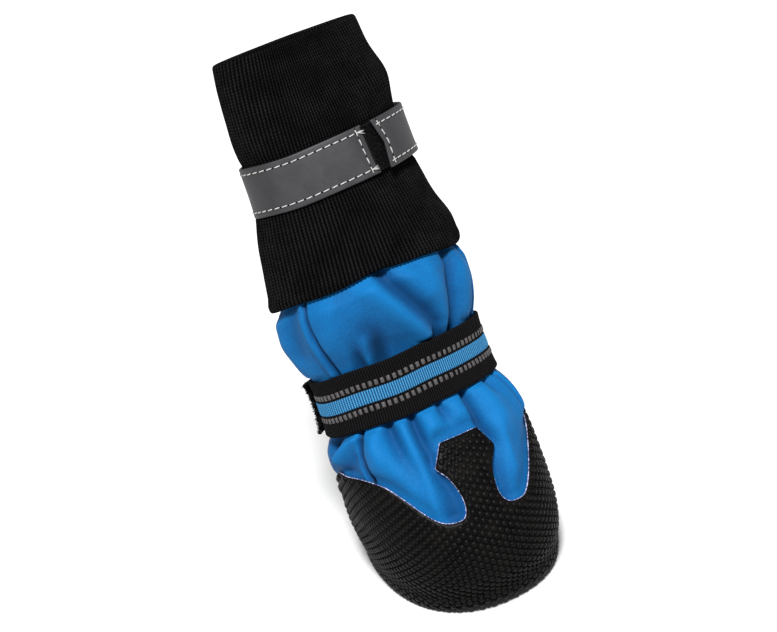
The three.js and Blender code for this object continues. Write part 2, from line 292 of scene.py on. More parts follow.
@dataclass
class BootForm:
    """The form that every piece is laid on.

    Attributes:
        sizes: The boot's driving sizes.
        stations: The station of each section.
        columns: Height, middle, front, back, half width, tilt and squareness of each section.
        slopes: How fast each column changes at each section.
    """

    sizes: BootSizes
    stations: Array = field(init=False)
    columns: Array = field(init=False)
    slopes: Array = field(init=False)

    def __post_init__(self) -> None:
        """Works the section table out from the sizes."""
        s = self.sizes
        lean = math.radians(s.shaft_lean)
        rows = [
            (
                at,
                height * s.ankle_height,
                middle * s.sole_length,
                front * s.sole_length,
                back * s.sole_length,
                half * s.ball_width,
                tilt * s.shaft_lean,
                s.foot_squareness,
            )
            for at, height, middle, front, back, half, tilt in FOOT_SECTIONS
        ]
        rows += [
            (
                s.ankle + up,
                s.ankle_height + up * math.cos(lean),
                -s.ankle_setback - up * math.sin(lean),
                front * s.ankle_depth,
                back * s.ankle_depth,
                half * s.ankle_width,
                tilt * s.shaft_lean,
                s.shaft_squareness,
            )
            for up, half, front, back, tilt in SHAFT_SECTIONS
        ]
        table = np.array(rows)
        self.stations, self.columns = table[:, 0], table[:, 1:]
        before = np.maximum(np.arange(len(table)) - 1, 0)
        after = np.minimum(np.arange(len(table)) + 1, len(table) - 1)
        spans = (self.stations[after] - self.stations[before])[:, None]
        self.slopes = (self.columns[after] - self.columns[before]) / spans

    def section(self, station: Array) -> Array:
        """The section's columns at each station, on a smooth curve through the table.

        Args:
            station: Stations along it.

        Returns:
            A row of columns for each station.
        """
        row = np.clip(np.searchsorted(self.stations, station) - 1, 0, len(self.stations) - 2)
        span = (self.stations[row + 1] - self.stations[row])[..., None]
        t = np.clip((station - self.stations[row])[..., None] / span, -0.3, 1.3)
        return (
            self.columns[row] * (1 + 2 * t) * (1 - t) ** 2
            + self.columns[row + 1] * (3 - 2 * t) * t**2
            + self.slopes[row] * span * t * (1 - t) ** 2
            + self.slopes[row + 1] * span * (t - 1) * t**2
        )

    def toe_lift(self, ahead: Array) -> Array:
        """How far the toe turns up, at each distance ahead of the sole's middle."""
        share = np.maximum(0.0, (ahead / self.sizes.sole_length - 0.2) / 0.3)
        return self.sizes.toe_spring * share**2

    def point(self, angle: Array, station: Array) -> Array:
        """The form's points at the given angles and stations.

        Args:
            angle: Angles round the boot, in degrees.
            station: Stations along it, of the same shape.

        Returns:
            Points in millimetres, with x, y and z last.
        """
        angle, station = np.broadcast_arrays(np.asarray(angle, float), np.asarray(station, float))
        height, middle, front, back, half, tilt, power = np.moveaxis(self.section(station), -1, 0)
        turn, tilt = np.radians(angle), np.radians(tilt)
        sine, cosine = np.sin(turn), np.cos(turn)
        across = np.abs(sine) / half
        along = np.abs(cosine) / np.where(cosine > 0, front, back)
        r = (across**power + along**power) ** (-1.0 / power)
        ahead = middle + r * cosine * np.cos(tilt)
        spring = self.toe_lift(ahead) * (1.0 - smoothstep(station, 0.0, 40.0))
        return np.stack([r * sine, -ahead, height + r * cosine * np.sin(tilt) + spring], axis=-1)

    def normal(self, angle: Array, station: Array) -> Array:
        """The form's outward directions at the given angles and stations.

        Args:
            angle: Angles round the boot, in degrees.
            station: Stations along it.

        Returns:
            Directions of length 1, with x, y and z last.
        """
        angle, station = np.broadcast_arrays(np.asarray(angle, float), np.asarray(station, float))
        step = 0.5
        round_ = self.point(angle + step, station) - self.point(angle - step, station)
        along = self.point(angle, station + step) - self.point(angle, np.maximum(0.0, station - step))
        out = np.cross(round_, along)
        return out / np.linalg.norm(out, axis=-1, keepdims=True)

    def offset(self, angle: Array, station: Array, distance: Array) -> Array:
        """Points at a distance outside the form, square to it."""
        out = self.normal(angle, station)
        return self.point(angle, station) + out * np.asarray(distance, float)[..., None]


# ---- Sheets laid on the form ----


@dataclass(frozen=True)
class Fold:
    """A soft trough or ridge in cloth, along a line through a few places.

    Attributes:
        path: Angle and station of each place.
        width: How far it spreads to either side, in millimetres.
        depth: How far it stands out at its middle, in millimetres; below 0 for a trough.
        fade: Share of its length over which it grows from nothing at its first place.
    """

    path: tuple[tuple[float, float], ...]
    width: float
    depth: float
    fade: float = 0.0


def fold_height(folds: Sequence[Fold], angle: Array, station: Array) -> Array:
    """How far a set of folds lifts the cloth.

    Args:
        folds: The folds.
        angle: Angles round the boot.
        station: Stations along it.

    Returns:
        Heights in millimetres.
    """
    height = np.zeros(np.broadcast(angle, station).shape)
    for fold in folds:
        nearest = np.full(height.shape, np.inf)
        place = np.zeros(height.shape)
        gone = 0.0
        for start, end in zip(fold.path, fold.path[1:]):
            run = math.radians(float(turn_between(end[0], start[0]))) * MEAN_RADIUS
            rise = end[1] - start[1]
            length = max(1e-6, math.hypot(run, rise))
            x = np.radians(turn_between(angle, start[0])) * MEAN_RADIUS
            y = station - start[1]
            t = np.clip((x * run + y * rise) / length**2, 0.0, 1.0)
            away = np.hypot(x - t * run, y - t * rise)
            place = np.where(away < nearest, gone + t * length, place)
            nearest = np.minimum(nearest, away)
            gone += length
        depth = fold.depth * np.exp(-((nearest / fold.width) ** 2))
        if fold.fade > 0.0:
            depth = depth * smoothstep(place / gone, 0.0, fold.fade)
        height = height + depth
    return height


def profile(low: float, high: float, inner: float, outer: float, rows: int, back_rows: int) -> Array:
    """A wall's closed cross-section, with round edges.

    Args:
        low: Station of the lower edge.
        high: Station of the upper edge.
        inner: Distance of the inner face from the form.
        outer: Distance of the outer face from the form.
        rows: Points up the outer face.
        back_rows: Points down the inner face.

    Returns:
        Station, distance and outwardness (1 outside, 0 inside) of each point, up the outside and
        down the inside.
    """
    radius = (outer - inner) / 2.0
    middle = (outer + inner) / 2.0
    turns = np.radians([60.0, 30.0, 0.0, -30.0, -60.0])
    up = np.linspace(low + radius, high - radius, rows)
    down = np.linspace(high - radius, low + radius, back_rows)
    top = np.stack([high - radius + radius * np.cos(turns), middle + radius * np.sin(turns)], axis=1)
    bottom = np.stack([low + radius - radius * np.cos(turns), middle - radius * np.sin(turns)], axis=1)
    path = np.concatenate(
        [
            np.stack([up, np.full(rows, outer)], axis=1),
            top,
            np.stack([down, np.full(back_rows, inner)], axis=1),
            bottom,
        ]
    )
    outwardness = np.clip((path[:, 1] - inner) / (outer - inner), 0.0, 1.0)
    return np.column_stack([path, outwardness])


@dataclass
class Wall:
    """A tube or strip: a closed cross-section carried round the form.

    Attributes:
        form: The form it is laid on.
        angles: Where its columns stand, in degrees.
        section: Station, distance and outwardness of each point of the cross-section.
        closed: Whether it goes right round.
        lift: Extra distance from the form at each angle and station, of the outer face.
        sink: Extra distance of the inner face; the same as lift where it isn't given.
        slide: Extra station at each angle and station.
        turn: Extra angle at each angle and station.
    """

    form: BootForm
    angles: Array
    section: Array
    closed: bool = True
    lift: Distance | None = None
    sink: Distance | None = None
    slide: Distance | None = None
    turn: Distance | None = None

    def points(self) -> Array:
        """The wall's points in millimetres, a row for each point of the cross-section.

        Returns:
            Points, with x, y and z last.
        """
        angle, station = np.meshgrid(self.angles, self.section[:, 0])
        distance = np.repeat(self.section[:, 1:2], len(self.angles), axis=1)
        share = self.section[:, 2:3]
        if self.lift is not None:
            outer = self.lift(angle, station)
            inner = outer if self.sink is None else self.sink(angle, station)
            distance = distance + share * outer + (1.0 - share) * inner
        slid = 0.0 if self.slide is None else self.slide(angle, station)
        turned = 0.0 if self.turn is None else self.turn(angle, station)
        return self.form.offset(angle + turned, station + slid, distance)

    def build(
        self,
        name: str,
        materials: Sequence[Material],
        slot_of: Callable[[Array, Array], Array] | None = None,
    ) -> Object:
        """Builds the wall's mesh.

        Args:
            name: The object's name.
            materials: Its material slots.
            slot_of: Gives a slot from the station and outwardness at each face's middle.

        Returns:
            The object, with a UV map of lengths along and across the cloth.
        """
        points = self.points()
        height, width = points.shape[:2]
        faces = grid_faces(width, height, self.closed, True)
        if self.closed:
            across = np.radians(np.append(self.angles, 360.0)) * MEAN_RADIUS
        else:
            across = self._lengths(points, 1, False)
        along = self._lengths(points, 0, True)
        i, j = faces[:, 0] % width, faces[:, 0] // width
        corners = np.stack(
            [
                np.stack([across[i + di], along[j + dj]], axis=1)
                for di, dj in ((0, 0), (1, 0), (1, 1), (0, 1))
            ],
            axis=1,
        )
        index = None
        if slot_of is not None:
            after = (np.arange(height) + 1) % height
            station = (self.section[:, 0] + self.section[after, 0]) / 2.0
            share = (self.section[:, 2] + self.section[after, 2]) / 2.0
            index = slot_of(station, share)[j]
        listed = faces.tolist()
        flat = corners.reshape(-1, 2)
        if not self.closed:
            listed, flat, index = self._with_caps(listed, flat, index, width, height)
        return mesh_object(name, points.reshape(-1, 3), listed, materials, index, flat * MM)

    @staticmethod
    def _lengths(points: Array, axis: int, closed: bool) -> Array:
        """Lengths along the middle line of a grid of points, with the closing step if it has one.

        Args:
            points: The grid.
            axis: The way that the line runs.
            closed: Whether the line closes on itself.

        Returns:
            The length up to each point, in millimetres.
        """
        other = 1 - axis
        line = np.take(points, points.shape[other] // 4, axis=other)
        if closed:
            line = np.concatenate([line, line[:1]])
        steps = np.linalg.norm(np.diff(line, axis=0), axis=1)
        return np.concatenate([[0.0], np.cumsum(steps)])

    @staticmethod
    def _with_caps(
        faces: list, uv: Array, index: Array | None, width: int, height: int
    ) -> tuple[list, Array, Array | None]:
        """Closes the two ends of a strip, face by face from the lower edge to the upper.

        Args:
            faces: The strip's faces.
            uv: The UV pairs of their corners.
            index: Their slots.
            width: Points in a row.
            height: Rows.

        Returns:
            The faces, UV pairs and slots with those of the ends.
        """
        bottom = height - 3
        steps = range(height // 2 + 1)
        left, right = ([(bottom + turn * k) % height for k in steps] for turn in (1, -1))
        first, last = [], []
        for k in range(height // 2):
            ring = list(dict.fromkeys([left[k], left[k + 1], right[k + 1], right[k]]))
            first.append([row * width for row in ring])
            last.append([row * width + width - 1 for row in reversed(ring)])
        ends = [*first, *last]
        corners = np.zeros((sum(len(face) for face in ends), 2))
        if index is not None:
            index = np.concatenate([index, np.zeros(len(ends), int)])
        return [*faces, *ends], np.concatenate([uv, corners]), index


# ---- Repeats ----


@dataclass(frozen=True)
class Repeat:
    """A node tree that puts one small shape at many places.

    Attributes:
        name: The tree's name.
        along: Whether the places are steps along a guide line, not the guide's own points.
    """

    name: str
    along: bool

    def tree(self) -> NodeTree:
        """Builds the tree, with the shape, its pitch, its scale and its material as inputs.

        Returns:
            The tree. The guide's points carry a vector called facing and, where they aren't steps
            along a line, a number called size and a turn called twist.
        """
        tree = bpy.data.node_groups.new(self.name, "GeometryNodeTree")
        for name, kind in (
            ("Geometry", "Geometry"),
            ("Shape", "Object"),
            ("Pitch", "Float"),
            ("Scale", "Vector"),
            ("Material", "Material"),
        ):
            tree.interface.new_socket(name, in_out="INPUT", socket_type=f"NodeSocket{kind}")
        tree.interface.new_socket("Geometry", in_out="OUTPUT", socket_type="NodeSocketGeometry")
        add = partial(add_node, tree)
        given = add("NodeGroupInput").outputs
        shape = add("GeometryNodeObjectInfo", _0=given["Shape"]).outputs["Geometry"]
        facing = add("GeometryNodeInputNamedAttribute", {"data_type": "FLOAT_VECTOR", "Name": "facing"})
        if self.along:
            line = add("GeometryNodeMeshToCurve", Mesh=given["Geometry"])
            places = add("GeometryNodeResampleCurve", {"mode": "LENGTH"}, Curve=line, Length=given["Pitch"])
            tangent = add("GeometryNodeInputTangent")
            turned = add("FunctionNodeAlignRotationToVector", {"axis": "X"}, Vector=tangent)
            upright = {"axis": "Z", "pivot_axis": "X"}
            rotation = add("FunctionNodeAlignRotationToVector", upright, Rotation=turned, Vector=facing)
            scale = given["Scale"]
        else:
            places = add("GeometryNodeMeshToPoints", Mesh=given["Geometry"])
            size = add("GeometryNodeInputNamedAttribute", {"data_type": "FLOAT", "Name": "size"})
            twist = add("GeometryNodeInputNamedAttribute", {"data_type": "FLOAT", "Name": "twist"})
            turned = add("FunctionNodeAlignRotationToVector", {"axis": "Z"}, Vector=facing)
            spin = add("FunctionNodeAxisAngleToRotation", {"Axis": (0.0, 0.0, 1.0)}, Angle=twist)
            rotation = add("FunctionNodeRotateRotation", {"rotation_space": "LOCAL"}, _0=turned, _1=spin)
            scale = add("ShaderNodeVectorMath", {"operation": "SCALE"}, Vector=given["Scale"], Scale=size)
        copies = add(
            "GeometryNodeInstanceOnPoints", Points=places, Instance=shape, Rotation=rotation, Scale=scale
        )
        real = add("GeometryNodeRealizeInstances", Geometry=copies)
        dressed = add("GeometryNodeSetMaterial", Geometry=real, Material=given["Material"])
        add("NodeGroupOutput", Geometry=dressed)
        return tree


class Repeater:
    """Runs the repeat trees and keeps what they make as plain meshes."""

    def __init__(self) -> None:
        """Builds both trees."""
        self.scatter = Repeat("small_shapes_on_points", along=False).tree()
        self.run = Repeat("small_shapes_along_a_line", along=True).tree()

    def place(
        self,
        name: str,
        guide: Object,
        shape: Object,
        material: Material,
        pitch: float | None = None,
        scale: tuple[float, float, float] = (1.0, 1.0, 1.0),
    ) -> Object:
        """Puts a shape at each point of a guide, or at each step along it.

        Args:
            name: The new object's name.
            guide: A mesh whose points or edges say where. It is removed.
            shape: The shape to repeat, made at the origin with its foot towards -Z. It is removed.
            material: What the copies are made of.
            pitch: The step along the guide, in millimetres, where it is a line.
            scale: The shape's scale along its own axes.

        Returns:
            One object with every copy in its mesh.
        """
        tree = self.scatter if pitch is None else self.run
        sockets = {
            item.name: item.identifier
            for item in tree.interface.items_tree
            if item.item_type == "SOCKET" and item.in_out == "INPUT"
        }
        modifier = guide.modifiers.new("repeat", "NODES")
        modifier.node_group = tree
        modifier[sockets["Shape"]] = shape
        modifier[sockets["Pitch"]] = (pitch or 1.0) * MM
        modifier[sockets["Scale"]] = scale
        modifier[sockets["Material"]] = material
        bpy.context.view_layer.update()
        depsgraph = bpy.context.evaluated_depsgraph_get()
        mesh = bpy.data.meshes.new_from_object(guide.evaluated_get(depsgraph))
        mesh.name = name
        for attribute in [a.name for a in mesh.attributes if a.name in ("facing", "size", "twist")]:
            mesh.attributes.remove(mesh.attributes[attribute])
        if not mesh.materials:
            mesh.materials.append(material)
        mesh.polygons.foreach_set("use_smooth", np.ones(len(mesh.polygons), bool))
        made = bpy.data.objects.new(name, mesh)
        bpy.context.scene.collection.objects.link(made)
        bpy.data.objects.remove(guide)
        bpy.data.objects.remove(shape)
        return made


def guide_mesh(
    name: str,
    points: Array,
    facing: Array,
    size: Array | None = None,
    twist: Array | None = None,
    edges: Sequence[tuple[int, int]] = (),
) -> Object:
    """Makes the points or lines that a repeat follows.

    Args:
        name: The object's name.
        points: Places in millimetres.
        facing: The outward direction at each place.
        size: The scale at each place.
        twist: The turn about the outward direction at each place, in radians.
        edges: Pairs of points joined in a line.

    Returns:
        The guide.
    """
    mesh = bpy.data.meshes.new(name)
    mesh.from_pydata((np.asarray(points) * MM).tolist(), [list(e) for e in edges], [])
    count = len(points)
    mesh.attributes.new("facing", "FLOAT_VECTOR", "POINT")
    mesh.attributes["facing"].data.foreach_set("vector", np.asarray(facing, np.float32).ravel())
    for label, values, default in (("size", size, 1.0), ("twist", twist, 0.0)):
        mesh.attributes.new(label, "FLOAT", "POINT")
        filled = np.full(count, default) if values is None else np.asarray(values)
        mesh.attributes[label].data.foreach_set("value", filled.astype(np.float32))
    made = bpy.data.objects.new(name, mesh)
    bpy.context.scene.collection.objects.link(made)
    return made


def dome(name: str, radius: float, height: float, sides: int) -> Object:
    """A low round nub, open underneath, to sink a little into what it stands on.

    Args:
        name: The object's name.
        radius: Its radius at the foot.
        height: How high it stands.
        sides: Points round it.

    Returns:
        The object, with its foot at the origin.
    """
    rings = ((1.0, -0.25), (0.95, 0.4), (0.7, 0.86))
    turns = np.linspace(0.0, 2.0 * math.pi, sides, endpoint=False)
    points = [
        (radius * share * math.cos(t), radius * share * math.sin(t), height * up)
        for share, up in rings
        for t in turns
    ]
    points.append((0.0, 0.0, height))
    faces = grid_faces(sides, len(rings), True, False).tolist()
    top = (len(rings) - 1) * sides
    faces += [[top + i, top + (i + 1) % sides, len(points) - 1] for i in range(sides)]
    return mesh_object(name, points, faces)


def rod(path: Array, radii: Array, sides: int, loop: bool = False) -> tuple[Array, list[list[int]]]:
    """The points and faces of a thin round rod.

    Args:
        path: Points in millimetres.
        radii: The radius at each point.
        sides: Points round it.
        loop: Whether the path closes on itself.

    Returns:
        The rod's points and its faces, with its ends closed unless it is a loop.
    """
    path, radii = np.asarray(path, float), np.asarray(radii, float)
    if loop:
        along = np.roll(path, -1, axis=0) - np.roll(path, 1, axis=0)
    else:
        along = np.gradient(path, axis=0)
    along /= np.linalg.norm(along, axis=1, keepdims=True)
    side = np.cross(along[0], (0.0, 0.0, 1.0))
    if np.linalg.norm(side) < 0.1:
        side = np.cross(along[0], (1.0, 0.0, 0.0))
    turns = np.linspace(0.0, 2.0 * math.pi, sides, endpoint=False)
    rings = []
    for centre, direction, radius in zip(path, along, radii):
        side = side - direction * side.dot(direction)
        side /= np.linalg.norm(side)
        other = np.cross(direction, side)
        rings.append(centre + radius * (np.outer(np.cos(turns), side) + np.outer(np.sin(turns), other)))
    points = np.concatenate(rings)
    faces = grid_faces(sides, len(path), True, loop).tolist()
    if not loop:
        last = (len(path) - 1) * sides
        faces.append(list(reversed(range(sides))))
        faces.append(list(range(last, last + sides)))
    return points, faces


def joined(parts: Sequence[tuple[Array, list[list[int]]]]) -> tuple[Array, list[list[int]]]:
    """The points and faces of several small meshes as one.

    Args:
        parts: The points and faces of each one.

    Returns:
        All their points and all their faces.
    """
    points, faces, count = [], [], 0
    for part_points, part_faces in parts:
        points.append(part_points)
        faces += [[count + i for i in face] for face in part_faces]
        count += len(part_points)
    return np.concatenate(points), faces


def ring_stack(name: str, rings: Sequence[Array], middles: Sequence[float], material: Material) -> Object:
    """A closed flat body from rings of points.

    Args:
        name: The object's name.
        rings: The rings, of as many points each, from the innermost underneath round to the
            innermost on top.
        middles: Heights of the middle points underneath and on top.
        material: What it is made of.

    Returns:
        The object.
    """
    width = len(rings[0])
    inmost, low = (len(rings) - 1) * width, len(rings) * width
    faces = grid_faces(width, len(rings), True, False).tolist()
    for i in range(width):
        after = (i + 1) % width
        faces += [[low, after, i], [inmost + i, inmost + after, low + 1]]
    points = np.concatenate([*rings, [[0.0, 0.0, height] for height in middles]])
    return mesh_object(name, points, faces, [material])


def twist_towards(facing: Array, wanted: Array) -> Array:
    """The turns that bring a shape's X axis, stood up along a direction, to a wanted direction.

    Args:
        facing: The outward directions.
        wanted: The directions that X should take, square to them.

    Returns:
        Turns in radians.
    """
    x, y, z = facing.T
    grip = 1.0 / (1.0 + np.maximum(z, -0.9999))
    level = np.stack([1.0 - x * x * grip, -x * y * grip, -x], axis=1)
    across = np.cross(facing, level)
    return np.arctan2(np.sum(wanted * across, axis=1), np.sum(wanted * level, axis=1))


class Ripple:
    """Gentle uneven waves round and along the boot, from a fixed seed."""

    def __init__(self, seed: int, turns: tuple[int, int], length: tuple[float, float]) -> None:
        """Draws the waves.

        Args:
            seed: The seed.
            turns: The fewest and most waves in a full turn.
            length: The shortest and longest wave along the boot, in millimetres.
        """
        draw = np.random.default_rng(seed)
        count = 14
        self.turns = draw.integers(turns[0], turns[1] + 1, count) * draw.choice([-1, 1], count)
        self.along = 2.0 * math.pi / draw.uniform(length[0], length[1], count)
        self.phase = draw.uniform(0.0, 2.0 * math.pi, count)

    def __call__(self, angle: Array, station: Array) -> Array:
        """Heights of about -1 to 1 at each angle and station.

        Args:
            angle: Angles round the boot, in degrees.
            station: Stations along it.

        Returns:
            The height at each place.
        """
        turn = np.radians(angle)
        waves = [
            np.sin(k * turn + m * station + p)
            for k, m, p in zip(self.turns, self.along, self.phase)
        ]
        return np.sum(waves, axis=0) / math.sqrt(len(waves) / 2.0) / 1.5


# ---- Finishes ----


def new_material(name: str) -> tuple[Material, Callable[..., Node]]:
    """Starts a material with no nodes.

    Args:
        name: The finish's name.

    Returns:
        The material, and what adds a node to its tree.
    """
    material = bpy.data.materials.new(name)
    material.use_nodes = True
    material.node_tree.nodes.clear()
    return material, partial(add_node, material.node_tree)


@dataclass(frozen=True)
class Softshell:
    """Softshell: a woven stretch face laminated to fleece.

    It gives the eye a smooth, matt, saturated face with painted light and shade, paler on its
    rounds and darker in its hollows and seams, near black in the seams and deepest hollows, and a
    grain of fine threads. The threads are about 0.25 mm apart, too fine to show, so the grain is
    drawn at 0.7 mm.
    """

    # face and shade are the blue's two tones, mixed at random by noise and by the painted shade of the
    # folds.
    face: str = "08609A"
    shade: str = "054274"
    # Painted shade in the seams and deepest hollows.
    painted_crease_shade: str = "011730"
    grain: float = 0.7
    patch: float = 14.0

    def material(self) -> Material:
        """Builds the material.

        Returns:
            The material.
        """
        material, add = new_material("softshell_woven_face")
        place = add("ShaderNodeTexCoord").outputs["Object"]
        patchy = {"Scale": 1000.0 / self.patch, "Detail": 2.0, "Roughness": 0.5}
        patches = add("ShaderNodeTexNoise", patchy, Vector=place)
        fine = {"Scale": 1000.0 / self.grain, "Detail": 3.0, "Roughness": 0.65}
        threads = add("ShaderNodeTexNoise", fine, Vector=place)
        spread = add("ShaderNodeMapRange", {"From Min": 0.3, "From Max": 0.75}, Value=patches)
        grained = add(
            "ShaderNodeMapRange",
            {"From Min": 0.35, "From Max": 0.65, "To Min": -0.22, "To Max": 0.22},
            Value=threads,
        )
        flecked = add("ShaderNodeMath", {"operation": "MULTIPLY_ADD", 1: 0.3}, _0=spread, _2=grained)
        # Painted light and shade: the fold heights kept on the cloth make its colour paler on the rounds
        # and darker in the hollows.
        nap = add("ShaderNodeAttribute", {"attribute_name": "nap"}).outputs["Fac"]
        brushed = add(
            "ShaderNodeMapRange",
            {"From Min": 0.15, "From Max": 0.85, "To Min": -0.2, "To Max": 0.9},
            Value=nap,
        )
        total = add("ShaderNodeMath", {"operation": "ADD", "use_clamp": True}, _0=flecked, _1=brushed)
        blues = {"data_type": "RGBA", 6: linear(self.shade), 7: linear(self.face)}
        colour = add("ShaderNodeMix", blues, _0=total).outputs[2]
        # Painted shade: the seams and deepest hollows are darkened towards a near-black blue.
        painted_seam_mask = add(
            "ShaderNodeMapRange",
            {"From Min": -0.4, "From Max": 0.2, "To Min": 0.95, "To Max": 0.0},
            Value=nap,
        )
        seam_shaded = add(
            "ShaderNodeMix", {"data_type": "RGBA", 7: linear(self.painted_crease_shade)}, _0=painted_seam_mask, _6=colour
        ).outputs[2]
        bump = add("ShaderNodeBump", {"Strength": 0.35, "Distance": 0.00012}, Height=threads)
        shader = add(
            "ShaderNodeBsdfPrincipled",
            {
                "Roughness": 0.75,
                "Specular IOR Level": 0.12,
                "Sheen Weight": 0.04,
                "Sheen Roughness": 0.5,
                "Sheen Tint": linear("8CC8F5"),
            },
            Base_Color=seam_shaded,
            Normal=bump,
        )
        add("ShaderNodeOutputMaterial", Surface=shader)
        return material


@dataclass(frozen=True)
class RibKnit:
    """Acrylic rib knit, one up and one down.

    It gives the eye dusty ribs with painted shade, near black, in the grooves between them and in
    the gaps between the loops, and on each rib a row of small slanted loops, 1.25 mm tall.
    """

    # Painted shade in the grooves between the ribs and between the loops.
    painted_groove_shade: str = "010101"
    yarn: str = "0E0D0F"
    fluff: str = "242325"
    ribs: int = 124
    loop: float = 1.25

    def material(self) -> Material:
        """Builds the material.

        Returns:
            The material.
        """
        material, add = new_material("rib_knit_acrylic")
        place = add("ShaderNodeTexCoord").outputs["Object"]
        cloth = add("ShaderNodeUVMap", {"uv_map": "cloth"})
        rib_pitch = 2.0 * math.pi * MEAN_RADIUS / self.ribs
        waves = []
        for direction, pitch, stray in (("X", rib_pitch, 0.9), ("Y", self.loop, 2.4)):
            wavy = {"bands_direction": direction, "Scale": WAVE_PITCH / pitch, "Distortion": stray}
            wavy |= {"Detail": 1.0, "Detail Scale": 2.0}
            waves.append(add("ShaderNodeTexWave", wavy, Vector=cloth).outputs["Fac"])
        ribs, loops = waves
        fibres = add("ShaderNodeTexNoise", {"Scale": 2200.0, "Detail": 3.0, "Roughness": 0.7}, Vector=place)
        worn = add("ShaderNodeTexNoise", {"Scale": 90.0, "Detail": 3.0, "Roughness": 0.6}, Vector=place)
        rubbed = add("ShaderNodeMath", {"operation": "MULTIPLY"}, _0=fibres, _1=worn)
        dusty = add("ShaderNodeMapRange", {"From Min": 0.12, "From Max": 0.42}, Value=rubbed)
        looped = add("ShaderNodeMapRange", {"To Min": 0.42}, Value=loops)
        raised = add("ShaderNodeMath", {"operation": "MULTIPLY"}, _0=ribs, _1=looped)
        yarns = {"data_type": "RGBA", 6: linear(self.yarn), 7: linear(self.fluff)}
        top = add("ShaderNodeMix", yarns, _0=dusty).outputs[2]
        # Painted shade: the rib and loop height darkens the colour towards near black in the grooves and
        # between the loops.
        colour = add(
            "ShaderNodeMix", {"data_type": "RGBA", 6: linear(self.painted_groove_shade)}, _0=raised, _7=top
        ).outputs[2]
        bump = add("ShaderNodeBump", {"Strength": 0.8, "Distance": 0.00035}, Height=raised)
        dull = {"Roughness": 0.95, "Specular IOR Level": 0.03}
        shader = add("ShaderNodeBsdfPrincipled", dull, Base_Color=colour, Normal=bump)
        add("ShaderNodeOutputMaterial", Surface=shader)
        return material


@dataclass(frozen=True)
class MouldedRubber:
    """Moulded rubber sheet.

    It gives the eye a warm near-black with a soft broken shine on each raised spot, a fine skin
    of 0.3 mm grain and a little pale dust.
    """

    name: str = "rubber_moulded"
    body: str = "090808"
    dust: str = "121110"
    roughness: float = 0.42

    def material(self) -> Material:
        """Builds the material.

        Returns:
            The material.
        """
        material, add = new_material(self.name)
        place = add("ShaderNodeTexCoord").outputs["Object"]
        grain = add("ShaderNodeTexNoise", {"Scale": 3300.0, "Detail": 2.0, "Roughness": 0.6}, Vector=place)
        cloud = add("ShaderNodeTexNoise", {"Scale": 160.0, "Detail": 4.0, "Roughness": 0.6}, Vector=place)
        dusty = add("ShaderNodeMapRange", {"From Min": 0.35, "From Max": 0.8}, Value=cloud)
        blacks = {"data_type": "RGBA", 6: linear(self.body), 7: linear(self.dust)}
        colour = add("ShaderNodeMix", blacks, _0=dusty).outputs[2]
        uneven = {"From Min": 0.3, "From Max": 0.7}
        uneven |= {"To Min": self.roughness - 0.07, "To Max": self.roughness + 0.1}
        roughness = add("ShaderNodeMapRange", uneven, Value=cloud)
        bump = add("ShaderNodeBump", {"Strength": 0.3, "Distance": 0.0001}, Height=grain)
        shader = add(
            "ShaderNodeBsdfPrincipled",
            {"Specular IOR Level": 0.055},
            Base_Color=colour,
            Roughness=roughness,
            Normal=bump,
        )
        add("ShaderNodeOutputMaterial", Surface=shader)
        return material


@dataclass(frozen=True)
class Weave:
    """Woven polyester tape, its threads crossing at a given pitch.

    It gives the eye rows of small floats in the thread's colour where a thread comes to the top,
    with painted shade in the darker gaps between them.
    """

    name: str
    thread: str
    # Painted shade in the gaps between the floats.
    gap: str
    across: float
    along: float
    roughness: float = 0.8
    relief: float = 0.15
    flecks: float = 0.25

    def material(self) -> Material:
        """Builds the material.

        Returns:
            The material.
        """
        material, add = new_material(self.name)
        cloth = add("ShaderNodeUVMap", {"uv_map": "cloth"})
        place = add("ShaderNodeTexCoord").outputs["Object"]
        waves = []
        for direction, pitch in (("X", self.across), ("Y", self.along)):
            wavy = {"bands_direction": direction, "Scale": WAVE_PITCH / pitch, "Distortion": 0.5}
            wavy |= {"Detail": 1.0, "Detail Scale": 3.0}
            waves.append(add("ShaderNodeTexWave", wavy, Vector=cloth).outputs["Fac"])
        floats = add("ShaderNodeMapRange", {"To Min": 0.5}, Value=waves[1])
        crossed = add("ShaderNodeMath", {"operation": "MULTIPLY"}, _0=waves[0], _1=floats)
        fibre = add("ShaderNodeTexNoise", {"Scale": 1800.0, "Detail": 3.0, "Roughness": 0.7}, Vector=place)
        centred = {"operation": "MULTIPLY_ADD", 1: self.flecks, 2: -self.flecks / 2}
        uneven = add("ShaderNodeMath", centred, _0=fibre)
        total = add("ShaderNodeMath", {"operation": "ADD", "use_clamp": True}, _0=crossed, _1=uneven)
        # Painted shade: the weave's height darkens the colour in the gaps between the floats.
        dyes = {"data_type": "RGBA", 6: linear(self.gap), 7: linear(self.thread)}
        colour = add("ShaderNodeMix", dyes, _0=total).outputs[2]
        bump = add("ShaderNodeBump", {"Strength": 0.8, "Distance": self.relief * MM}, Height=crossed)
        dull = {"Roughness": self.roughness, "Specular IOR Level": 0.06}
        shader = add("ShaderNodeBsdfPrincipled", dull, Base_Color=colour, Normal=bump)
        add("ShaderNodeOutputMaterial", Surface=shader)
        return material


